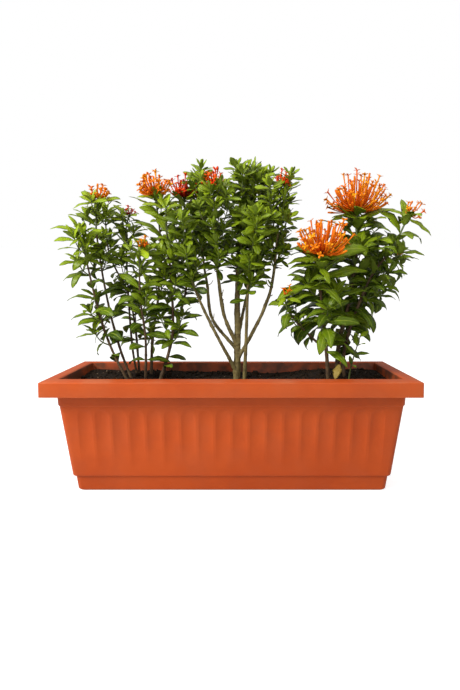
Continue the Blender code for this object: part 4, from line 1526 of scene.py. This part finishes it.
@dataclass
class Trough:
    """The moulded window box: rim with a ledge and band, collar, fluted walls, plinth and foot ring."""

    finish: bpy.types.Material
    rim_drop: float = 25.8 * MM
    rim_flare: float = 0.6 * MM
    rim_width: float = 24.0 * MM
    rim_wall: float = 3.0 * MM
    ledge_width: float = 5.0 * MM
    ledge_step: float = 0.6 * MM
    band_rise: float = 1.3 * MM
    wall: float = 3.2 * MM
    overhang: float = 17.7 * MM
    taper: float = 15.2 * MM
    collar_height: float = 19.5 * MM
    collar_proud: float = 1.5 * MM
    plinth_height: float = 27.0 * MM
    plinth_step: float = 3.6 * MM
    foot_taper: float = 2.4 * MM
    foot_chamfer: float = 2.6 * MM
    foot_ring: float = 8.5 * MM
    floor_underside: float = 3.0 * MM
    floor_top: float = 6.5 * MM
    corner: float = 9.0 * MM
    rim_corner: float = 2.0 * MM
    corner_steps: int = 6
    fillet: float = 0.9 * MM
    pitch: float = 27.9 * MM
    flute_half: float = 11.9 * MM
    flute_depth: float = 1.9 * MM
    flute_head: float = 144.5 * MM
    flute_foot: float = 34.0 * MM
    front_flutes: int = 18
    end_flutes: int = 4
    half_columns: tuple[float, ...] = (4.7, 8.4, 10.9, 11.9, 12.7)
    hole_radius: float = 5.0 * MM
    hole_places: tuple[float, ...] = (-195.0, -65.0, 65.0, 195.0)
    pad_places: tuple[float, ...] = (-130.0, 0.0, 130.0)
    pad_size: tuple[float, float] = (14.0 * MM, 90.0 * MM)

    def __post_init__(self) -> None:
        """Takes the overall size from the part: the rim flares a little past the top's own edge."""
        low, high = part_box("planter_box")
        self.half_x = (high[0] - low[0]) / 2 - self.rim_flare
        self.half_y = (high[1] - low[1]) / 2 - self.rim_flare
        self.height = high[2]
        self.collar_z = self.height - self.rim_drop - self.collar_height
        self.plinth_inset = self.overhang + self.taper + self.plinth_step
        self.foot_inset = self.plinth_inset + self.foot_taper
        left = [-place for place in reversed(self.half_columns)]
        self.flute_columns = (-self.pitch / MM / 2, *left, 0.0, *self.half_columns)

    def wall_inset(self, z: float) -> float:
        """Returns how far the wall's outer face stands in from the rim at a height."""
        share = (z - self.plinth_height) / (self.collar_z - self.plinth_height)
        return self.overhang + self.taper - share * (self.taper - 2 * self.collar_proud)

    def inner_inset(self, z: float) -> float:
        """Returns how far the wall's inner face stands in from the rim at a height."""
        share = (z - self.plinth_height) / (self.height - self.plinth_height)
        return between(self.wall_inset(self.plinth_height) + self.wall, self.rim_width, share)

    def corners(self) -> list[Triple]:
        """Returns (inset, height, corner radius) of each edge, from underneath over the rim."""
        band_z = self.height - self.band_rise
        shoulder_z = band_z - self.ledge_step
        rim_under = shoulder_z - self.rim_wall
        skirt_z, edge = self.height - self.rim_drop, 1.5 * MM
        body, rim = self.corner, self.rim_corner
        collar_inset = self.wall_inset(self.collar_z)
        return [
            (self.foot_inset + self.foot_ring + 1 * MM, self.floor_underside, body),
            (self.foot_inset + self.foot_ring, 0.0, body),
            (self.foot_inset + self.foot_chamfer, 0.0, body),
            (self.foot_inset, self.foot_chamfer, body),
            (self.plinth_inset, self.plinth_height - edge / 5, body),
            (self.overhang + self.taper + edge, self.plinth_height, body),
            (self.overhang + self.taper, self.plinth_height + edge, body),
            (collar_inset, self.collar_z, body),
            (collar_inset - self.collar_proud, self.collar_z + self.collar_proud, body),
            (self.overhang, rim_under, body),
            (self.rim_wall, rim_under, rim),
            (self.rim_wall - self.rim_flare, skirt_z, rim),
            (-self.rim_flare, skirt_z, rim),
            (0.0, shoulder_z - edge / 2, rim),
            (edge / 2, shoulder_z, rim),
            (self.ledge_width - self.ledge_step, shoulder_z, rim),
            (self.ledge_width, band_z, rim),
            (self.rim_width - 2 * edge, self.height, rim),
            (self.rim_width, self.height - edge, rim),
            (self.wall_inset(self.plinth_height) + self.wall, self.plinth_height + edge, body),
            (self.plinth_inset + self.wall, self.plinth_height - 2 * edge, body),
            (self.foot_inset + self.wall, self.floor_top, body),
        ]

    def section(self) -> list[tuple[float, float, float, bool]]:
        """Returns the section with filleted edges and the walls' rows; the last value marks fluted rows."""
        corners = self.corners()
        rows: list[tuple[float, float, float, bool]] = [(*corners[0], False)]
        for before, here, after in zip(corners, corners[1:], corners[2:]):
            here_in, here_z, radius = here
            far_in, far_out = math.dist(before[:2], here[:2]), math.dist(after[:2], here[:2])
            cut_in = min(self.fillet, 0.4 * far_in) / far_in
            cut_out = min(self.fillet, 0.4 * far_out) / far_out
            start = [between(here[k], before[k], cut_in) for k in range(2)]
            end = [between(here[k], after[k], cut_out) for k in range(2)]
            for t in (0.0, 0.5, 1.0):
                first, second, third = (1 - t) ** 2, 2 * t * (1 - t), t * t
                blended = [first * start[k] + second * here[k] + third * end[k] for k in range(2)]
                rows.append((*blended, radius, False))
            if abs(here_z - (self.plinth_height + 1.5 * MM)) < 1e-6 and after[1] > here_z:
                for z in self.flute_rows():
                    rows.append((self.wall_inset(z), z, radius, True))
        rows.append((*corners[-1], False))
        return rows

    def flute_rows(self) -> list[float]:
        """Returns the heights of the wall's rows, close together at the flutes' round heads."""
        shoulder = self.flute_head - self.flute_half - 2 * MM
        plain = [between(self.flute_foot - 3 * MM, shoulder, k / 20) for k in range(21)]
        head = [between(shoulder, self.flute_head + 1 * MM, (k + 1) / 12) for k in range(12)]
        return plain + head

    def scoop(self, offset: float, z: float) -> float:
        """Works out a flute's depth.

        Args:
            offset: The distance from the flute's middle line.
            z: The height.

        Returns:
            How deep the wall is scooped out there.
        """
        arch_z = self.flute_head - self.flute_half
        half = self.flute_half
        if z > arch_z:
            rise = (z - arch_z) / self.flute_half
            if rise >= 1:
                return 0.0
            half *= math.sqrt(1 - rise * rise)
        if abs(offset) >= half or z < self.flute_foot:
            return 0.0
        fade = min(1.0, (z - self.flute_foot) / (0.75 * (arch_z - self.flute_foot)))
        deep = fade * fade * (3 - 2 * fade) * (half / self.flute_half) ** 0.6
        return self.flute_depth * deep * (1 - (offset / half) ** 2)

    def side_offsets(self, flutes: int, straight: float) -> list[tuple[float, float]]:
        """Places the columns of points along one side.

        Args:
            flutes: The number of flutes on it.
            straight: Half the length of its straight part.

        Returns:
            For each column its place along the wall and its distance from the nearest flute's middle.
        """
        zone = flutes * self.pitch / 2
        squeeze = min(1.0, (straight - 1.5 * MM) / zone)
        columns: list[tuple[float, float]] = []
        for k in range(3):
            columns.append((between(-straight, -zone * squeeze, k / 3), self.pitch / 2))
        for flute in range(flutes):
            middle = (flute - (flutes - 1) / 2) * self.pitch
            columns += [((middle + offset * MM) * squeeze, offset * MM) for offset in self.flute_columns]
        for k in range(3):
            columns.append((between(zone * squeeze, straight, k / 3), self.pitch / 2))
        return columns

    def ring(self, inset: float, z: float, radius: float, fluted: bool) -> list[Triple]:
        """Works out one level ring of the box.

        Args:
            inset: How far it stands in from the rim.
            z: Its height.
            radius: Its corners' radius.
            fluted: Whether the flutes cut into it.

        Returns:
            Its points, counter-clockwise from above.
        """
        points = []
        half_x, half_y = self.half_x - inset, self.half_y - inset
        for quarter in range(4):
            along_x = quarter % 2 == 0
            straight = (half_x if along_x else half_y) - radius
            reach = half_y if along_x else half_x
            flutes = self.front_flutes if along_x else self.end_flutes
            turn = quarter * math.pi / 2
            cos, sin = round(math.cos(turn)), round(math.sin(turn))
            for place, offset in self.side_offsets(flutes, straight):
                depth = self.scoop(offset, z) if fluted else 0.0
                x, y = place, -(reach - depth)
                points.append((x * cos - y * sin, x * sin + y * cos, z))
            for step in range(self.corner_steps):
                angle = step / self.corner_steps * math.pi / 2
                x = straight + radius * math.sin(angle)
                y = -(reach - radius) - radius * math.cos(angle)
                points.append((x * cos - y * sin, x * sin + y * cos, z))
        return points

    def build(self) -> bpy.types.Object:
        """Returns the box with its drainage holes and foot pads."""
        sculpture = Sculpture("window_box", [self.finish])
        rows = self.section()
        rings = [self.ring(*row) for row in rows]
        around = len(rings[0])
        points = np.array([point for ring in rings for point in ring])
        top = max(range(len(rows)), key=lambda number: rows[number][1])
        inside = np.repeat(np.arange(len(rows)) > top + 3, around)
        self.warp(points)
        faces: Faces = [tuple(reversed(range(around)))]
        faces += tube_faces(len(rings), around)
        faces.append(tuple(range((len(rings) - 1) * around, len(rings) * around)))
        # The marks' first value flags the inner walls, where the plastic paints shade.
        sculpture.add(points, faces, np.outer(inside, (1.0, 0.0, 0.0)))
        box = sculpture.build()
        self.fit_out(box)
        box.data.set_sharp_from_angle(angle=math.radians(38))
        return box

    def warp(self, points: Grid) -> None:
        """Gives the thin moulding the slight waviness of cooled plastic, most at its top."""
        elsewhere = Vector((5, 5, 5))
        for row in points:
            share = min(1.0, row[2] / self.height)
            row[1] += noise.noise(Vector(row) * 9.0) * 0.45 * MM * share
            row[0] += noise.noise(Vector(row) * 8.0 + elsewhere) * 0.3 * MM * share

    def fit_out(self, box: bpy.types.Object) -> None:
        """Joins the foot pads to the floor and cuts the drainage holes."""
        pads = Sculpture("foot_pads", [])
        for place in self.pad_places:
            self.add_pad(pads, place * MM)
        drills = Sculpture("drills", [])
        for place in self.hole_places:
            route = Route([(place * MM, 0, -self.floor_underside), (place * MM, 0, 2 * self.floor_top)])
            add_tube(drills, route, [0.0, route.length], [self.hole_radius] * 2, 20)
        for tool, operation in ((pads.build(), "UNION"), (drills.build(), "DIFFERENCE")):
            change = box.modifiers.new("fit_out", "BOOLEAN")
            change.operation, change.solver, change.object = operation, "EXACT", tool
            bake(box)
            bpy.data.objects.remove(tool)

    def add_pad(self, sculpture: Sculpture, x: float) -> None:
        """Adds a foot pad: a low block, flush with the foot ring, that reaches into the floor."""
        half_x, half_y = (side / 2 for side in self.pad_size)
        corners = ((-1, -1), (1, -1), (1, 1), (-1, 1))
        levels = (0.0, 1.5 * self.floor_underside)
        points = [(x + right * half_x, back * half_y, z) for z in levels for right, back in corners]
        faces = [(3, 2, 1, 0), (4, 5, 6, 7), *tube_faces(2, 4)]
        sculpture.add(np.array(points), faces)


# ----------------------------------------------------------------------------------------- the soil


@dataclass
class Soil:
    """Crumbly potting mix: mounded, with clods, loose crumbs, pale grit and bits of wood."""

    trough: Trough
    soil: bpy.types.Material
    grit: bpy.types.Material
    level: float = 177.0 * MM
    mounds: tuple[tuple[float, float, float, float], ...] = (
        (-150, 15, 62, 7),
        (8, 10, 48, 4),
        (190, 20, 75, 9),
        (-262, 70, 45, 5),
        (262, 66, 42, 3),
        (95, -50, 70, -5),
        (-80, -45, 60, -5),
        (70, 60, 40, -4),
    )
    columns: int = 230
    rows: int = 68
    crumbs: int = 1700
    grains: int = 70
    chips: int = 26
    seed: int = 404

    def height(self, x: float, y: float) -> float:
        """Returns the height of the soil's mounded surface."""
        total = self.level
        for mound_x, mound_y, spread, rise in self.mounds:
            apart = math.hypot(x / MM - mound_x, y / MM - mound_y) / spread
            total += rise * MM * math.exp(-apart * apart)
        return total

    def clod(self, x: float, y: float) -> float:
        """Returns how far clods and crumbs lift the surface."""
        spot = Vector((x, y, 0.0))
        coarse = noise.noise(spot / (15 * MM))
        middle = abs(noise.noise(spot / (6.5 * MM) + Vector((3, 1, 7))))
        fine = noise.noise(spot / (2.8 * MM) + Vector((9, 4, 2)))
        return (2.0 * coarse + 3.4 * middle - 1.1 + 0.8 * fine) * MM

    def outline(self, inset: float) -> list[list[tuple[float, float]]]:
        """Returns columns of (x, y) that fill the trough's rounded inside."""
        half_x, half_y, radius = self.trough.half_x - inset, self.trough.half_y - inset, self.trough.corner
        columns = []
        for i in range(self.columns + 1):
            x = half_x * (2 * i / self.columns - 1)
            past = max(0.0, abs(x) - (half_x - radius))
            reach = half_y - radius + math.sqrt(max(0.0, radius * radius - past * past))
            columns.append([(x, reach * (2 * j / self.rows - 1)) for j in range(self.rows + 1)])
        return columns

    def build(self) -> bpy.types.Object:
        """Returns the soil as one object."""
        self.dice = random.Random(self.seed)
        self.sculpture = Sculpture("soil", [self.soil, self.grit])
        self.add_body()
        for _ in range(self.crumbs):
            self.add_crumb(self.dice.lognormvariate(0.55, 0.45) * MM, 0, 1.0)
        for _ in range(self.grains):
            self.add_crumb(self.dice.uniform(0.6, 1.4) * MM, 1, 1.0)
        for _ in range(self.chips):
            self.add_crumb(self.dice.uniform(0.7, 1.2) * MM, 1, self.dice.uniform(3.0, 6.0))
        return self.sculpture.build()

    def add_body(self) -> None:
        """Adds the soil's own body: its lumpy top, and sides that follow the trough down to its floor."""
        trough = self.trough
        gap = 0.35 * MM
        levels = (
            (trough.foot_inset + trough.wall + gap, trough.floor_top + gap),
            (trough.inner_inset(trough.plinth_height) + 2 * gap, trough.plinth_height + 2 * MM),
        )
        top_inset = trough.inner_inset(self.level) + gap
        across = self.rows + 1
        points = []
        for x_column in self.outline(top_inset):
            for x, y in x_column:
                from_end, from_side = trough.half_x - top_inset - abs(x), trough.half_y - top_inset - abs(y)
                edge = min(from_end, from_side) / (8 * MM)
                z = self.height(x, y) + self.clod(x, y) * min(1.0, max(0.25, edge))
                points.append((x, y, z))
        faces: Faces = []
        for i in range(self.columns):
            for j in range(self.rows):
                a = i * across + j
                faces.append((a, a + across, a + across + 1, a + 1))
        front = [i * across for i in range(self.columns + 1)]
        right = [self.columns * across + j for j in range(1, across)]
        back = [i * across + self.rows for i in range(self.columns - 1, -1, -1)]
        rim = front + right + back + list(range(self.rows - 1, 0, -1))
        above = rim
        for inset, z in reversed(levels):
            grid = [point for column in self.outline(inset) for point in column]
            below = list(range(len(points), len(points) + len(rim)))
            points += [(*grid[k], z) for k in rim]
            for k in range(len(rim)):
                after = (k + 1) % len(rim)
                faces.append((below[k], below[after], above[after], above[k]))
            above = below
        faces.append(tuple(reversed(above)))
        self.sculpture.add(np.array(points), faces)

    def add_crumb(self, radius: float, finish: int, stretch: float) -> None:
        """Adds a crumb, grain or chip, half sunk into the surface.

        Args:
            radius: Its radius.
            finish: 0 for soil, 1 for grit.
            stretch: How many times longer it is than wide.
        """
        inset = self.trough.inner_inset(self.level) + radius * stretch + 2.5 * MM
        x = self.dice.uniform(-1, 1) * (self.trough.half_x - inset)
        y = self.dice.uniform(-1, 1) * (self.trough.half_y - inset)
        z = self.height(x, y) + self.clod(x, y) + radius * self.dice.uniform(-0.1, 0.5)
        turn = Matrix.Rotation(self.dice.uniform(0, math.pi), 3, "Z")
        turn = turn @ Matrix.Rotation(self.dice.uniform(-0.5, 0.5), 3, "Y")
        points, faces = icosahedron()
        shaped = []
        for point in points:
            swell = self.dice.uniform(0.72, 1.25)
            squashed = Vector((point[0] * stretch, point[1] * 0.95, point[2] * 0.8))
            shaped.append(turn @ squashed * radius * swell + Vector((x, y, z)))
        self.sculpture.add(np.array(shaped), faces, finish=finish)


def icosahedron() -> tuple[list[Triple], Faces]:
    """Returns the points and faces of a twenty-sided body of radius one."""
    mesh = bmesh.new()
    bmesh.ops.create_icosphere(mesh, subdivisions=1, radius=1.0)
    points = [tuple(vertex.co) for vertex in mesh.verts]
    faces = [tuple(vertex.index for vertex in face.verts) for face in mesh.faces]
    mesh.free()
    return points, faces


@dataclass
class YellowLeaf:
    """The dead leaf that leans against the foot of the right-hand shrub."""

    finish: bpy.types.Material
    place: Triple = (174.0, -42.0, 186.5)
    length: float = 29.0 * MM
    width: float = 15.5 * MM

    def build(self) -> bpy.types.Object:
        """Returns the leaf."""
        pattern = LeafPattern(widest=0.52, blunt=0.75, fold=0.22, wave=0.22, thickness=0.5 * MM)
        heading = unit(np.array((0.30, 0.30, 0.92)))
        face = square_to(np.array((-0.25, -1.0, 0.3)), heading)
        pose = LeafPose(
            foot=np.array(self.place) * MM,
            heading=heading,
            face=face,
            length=self.length,
            width=self.width,
            droop=0.5,
            twist=0.35,
            phase=0.2,
        )
        faces, under = pattern.faces()
        sculpture = Sculpture("dead_leaf", [self.finish])
        sculpture.add(pose.points(pattern), faces, undersides=under)
        return sculpture.build()


@dataclass
class Sprout:
    """A thin pale seedling beside the right-hand shrub, with a few small leaves."""

    palette: Palette
    thicket: Thicket
    points: tuple[Triple, ...] = ((199, -34, 181), (201, -38, 205), (206, -44, 232), (213, -50, 262))

    def build(self) -> bpy.types.Object:
        """Returns the seedling."""
        shoot = LeafyShoot(
            name="right_sprout",
            plan=StemPlan(1.5, 0.8, 0.0, 0.36, self.points),
            habit=SPROUT_HABIT,
            palette=self.palette,
            bark=self.palette.cane_bark,
            thicket=self.thicket,
            dice=random.Random(61),
        )
        return shoot.build()


# --------------------------------------------------------------------------------------- the shrubs


@dataclass(frozen=True)
class Bloom:
    """One flower head's plan: the stem that bears it, its slot, its size in millimetres and its lean."""

    stem: str
    slot: Slot
    radius: float
    height: float
    florets: int
    lean: Triple


@dataclass
class Shrub:
    """One ixora shrub: its stems, leafy shoots and flower heads, each standing for the part's node."""

    side: str
    stems: dict[str, StemPlan]
    habit: Habit
    blooms: tuple[Bloom, ...]
    palette: Palette
    thicket: Thicket
    seed: int
    forks: dict[str, tuple[str, ...]]
    trunked: bool = False

    def build(self) -> None:
        """Builds every piece of the shrub."""
        self.bark = self.palette.trunk_bark if self.trunked else self.palette.cane_bark
        self.build_wood()
        bearing = {bloom.stem for bloom in self.blooms}
        for number, (key, plan) in enumerate(self.stems.items()):
            name = f"{self.side}_shoot_{key}"
            shoot = LeafyShoot(
                name=f"{name}_leaves",
                plan=plan,
                habit=self.habit,
                palette=self.palette,
                bark=self.bark,
                thicket=self.thicket,
                dice=random.Random(self.seed * 100 + number),
                flowers=key in bearing,
            )
            publish(shoot.build(), Slot.LEAF, name)
        self.build_flowers()

    def build_wood(self) -> None:
        """Builds the woody stems. A forked one carries its branches."""
        slot = Slot.TRUNK_BARK if self.trunked else Slot.CANE_BARK
        branches = {key for keys in self.forks.values() for key in keys}
        for key, plan in self.stems.items():
            if key in branches:
                continue
            carried = tuple(self.stems[name] for name in self.forks.get(key, ()))
            kind = Trunk if key == "main" else Cane
            name = f"{self.side}_stem_{key}"
            publish(kind(f"{name}_wood", plan, self.bark, carried).build(), slot, name)

    def build_flowers(self) -> None:
        """Builds the flower heads."""
        for number, bloom in enumerate(self.blooms):
            name = f"{self.side}_flower_{bloom.stem}"
            head = FlowerHead(
                name=f"{name}_head",
                plan=self.stems[bloom.stem],
                finish=self.palette.red if bloom.slot is Slot.PETAL_RED else self.palette.orange,
                green=self.palette.green_stem,
                radius=bloom.radius * MM,
                height=bloom.height * MM,
                florets=bloom.florets,
                lean=bloom.lean,
                dice=random.Random(self.seed * 1000 + number),
            )
            publish(head.build(), bloom.slot, name)


LEFT_BLOOMS = (
    Bloom("2", Slot.PETAL_ORANGE, 20, 36, 22, (0.1, 0.0, 1.0)),
    Bloom("3", Slot.PETAL_RED, 12, 22, 10, (0.0, -0.2, 1.0)),
    Bloom("5", Slot.PETAL_ORANGE, 11, 24, 9, (0.1, 0.0, 1.0)),
    Bloom("6", Slot.PETAL_ORANGE, 32, 42, 56, (-0.1, -0.1, 1.0)),
    Bloom("8", Slot.PETAL_RED, 30, 44, 64, (0.15, -0.15, 1.0)),
)
CENTRE_BLOOMS = (
    Bloom("3", Slot.PETAL_RED, 18, 38, 18, (0.1, -0.2, 1.0)),
    Bloom("5", Slot.PETAL_RED, 16, 36, 14, (0.55, -0.2, 1.0)),
)
RIGHT_BLOOMS = (
    Bloom("1", Slot.PETAL_ORANGE, 50, 66, 92, (0.0, -0.15, 1.0)),
    Bloom("2", Slot.PETAL_ORANGE, 58, 72, 112, (0.0, -0.1, 1.0)),
    Bloom("3", Slot.PETAL_ORANGE, 22, 36, 13, (0.6, 0.0, 0.8)),
    Bloom("4", Slot.PETAL_ORANGE, 9, 24, 7, (-0.1, 0.0, 1.0)),
    Bloom("5", Slot.PETAL_ORANGE, 12, 26, 8, (0.5, 0.0, 0.9)),
)


# --------------------------------------------------------------------------------------- the studio


@dataclass(frozen=True)
class Lamp:
    """A soft square light that faces the plants: its place and side in metres, its power in watts."""

    name: str
    place: Triple
    side: float
    power: float
    colour: Triple
    target: Triple = (0.0, 0.0, 0.28)

    def hang(self) -> None:
        """Hangs the light."""
        light = bpy.data.lights.new(self.name, "AREA")
        light.shape, light.size, light.energy, light.color = "SQUARE", self.side, self.power, self.colour
        lamp = bpy.data.objects.new(self.name, light)
        bpy.context.scene.collection.objects.link(lamp)
        lamp.location = self.place
        aim = Vector(self.target) - Vector(self.place)
        lamp.rotation_euler = aim.to_track_quat("-Z", "Y").to_euler()


LAMPS = (
    Lamp("key", (-1.60, -1.10, 1.50), 0.7, 56.0, (1.0, 0.97, 0.93)),
    Lamp("front", (0.6, -2.3, 0.95), 1.2, 10.0, (1.0, 0.99, 0.97)),
    Lamp("top", (0.05, -0.1, 2.1), 1.8, 20.0, (1.0, 1.0, 1.0)),
)


@dataclass
class Studio:
    """A plain pale floor, plain soft light and the camera."""

    lens: float = 23.53
    sensor: float = 36.0
    eye: Triple = (0.0178, -0.791, 0.3388)
    pitch: float = 0.125
    shift: float = -0.0181
    ambient: float = 0.32
    floor_sides: int = 48
    floor_rings: tuple[tuple[float, float], ...] = ((3.0, 0.0), (3.6, 0.06), (4.0, 0.3), (4.1, 0.7))

    def build(self) -> None:
        """Sets up the studio."""
        self.lay_floor()
        self.light_world()
        self.place_camera()
        for lamp in LAMPS:
            lamp.hang()
        bpy.context.scene.view_settings.view_transform = "Standard"

    def lay_floor(self) -> None:
        """Lays a floor with a turned-up edge far from the box."""
        sculpture = Sculpture("studio_floor", [PaleFloor().build()])
        sides = self.floor_sides
        turns = [2 * math.pi * k / sides for k in range(sides)]
        points = [(0.0, 0.0, 0.0)]
        for radius, z in self.floor_rings:
            points += [(radius * math.cos(turn), radius * math.sin(turn), z) for turn in turns]
        faces: Faces = [(0, k + 1, (k + 1) % sides + 1) for k in range(sides)]
        for row in range(len(self.floor_rings) - 1):
            for k in range(sides):
                a, b = 1 + row * sides + k, 1 + row * sides + (k + 1) % sides
                faces.append((a, a + sides, b + sides, b))
        sculpture.add(np.array(points), faces)
        floor = sculpture.build()
        floor.location.z = -0.5 * MM

    def light_world(self) -> None:
        """Surrounds the scene with even white light."""
        world = bpy.data.worlds.new("studio_world")
        bpy.context.scene.world = world
        world.use_nodes = True
        wiring = Wiring(world.node_tree)
        soft = world.node_tree.nodes["Background"]
        soft.inputs["Color"].default_value = (1.0, 1.0, 1.0, 1.0)
        soft.inputs["Strength"].default_value = self.ambient
        backdrop = wiring.node("ShaderNodeBackground", {"Color": (1.0, 1.0, 1.0, 1.0), "Strength": 1.0})
        seen = wiring.node("ShaderNodeLightPath").outputs["Is Camera Ray"]
        mixed = wiring.node("ShaderNodeMixShader", {0: seen, 1: soft.outputs[0], 2: backdrop.outputs[0]})
        wiring.feed(world.node_tree.nodes["World Output"].inputs["Surface"], mixed.outputs[0])

    def place_camera(self) -> None:
        """Stands the camera in front of the box at seated eye height."""
        camera = bpy.data.objects.new("camera", bpy.data.cameras.new("camera"))
        bpy.context.scene.collection.objects.link(camera)
        camera.data.sensor_width = self.sensor
        camera.data.lens = self.lens
        camera.data.shift_x = self.shift
        camera.data.clip_start = 0.01
        camera.location = self.eye
        camera.rotation_euler = (math.pi / 2 - self.pitch, 0.0, 0.0)
        bpy.context.scene.camera = camera


def main() -> None:
    """Builds the studio, the box, its soil and the three shrubs."""
    logging.basicConfig(level=logging.INFO, format="%(name)s %(relativeCreated)d ms: %(message)s")
    palette = Palette()
    Studio().build()
    trough = Trough(palette.plastic)
    publish(trough.build(), Slot.PLASTIC, "planter_box")
    publish(Soil(trough, palette.soil, palette.grit).build(), Slot.SOIL, "potting_soil")
    publish(YellowLeaf(palette.dry_leaf).build(), Slot.DRY_LEAF, "fallen_leaf")
    thicket = Thicket()
    side_branch = {"1": ("4",)}
    branches = {"main": ("1", "2", "3", "4", "5")}
    shared = (palette, thicket)
    Shrub("right", RIGHT_STEMS, RIGHT_HABIT, RIGHT_BLOOMS, *shared, 3, side_branch).build()
    Shrub("left", LEFT_STEMS, LEFT_HABIT, LEFT_BLOOMS, *shared, 1, {}).build()
    Shrub("centre", CENTRE_STEMS, CENTRE_HABIT, CENTRE_BLOOMS, *shared, 2, branches, True).build()
    publish(Sprout(palette, thicket).build(), Slot.LEAF)


if __name__ == "__main__":
    main()
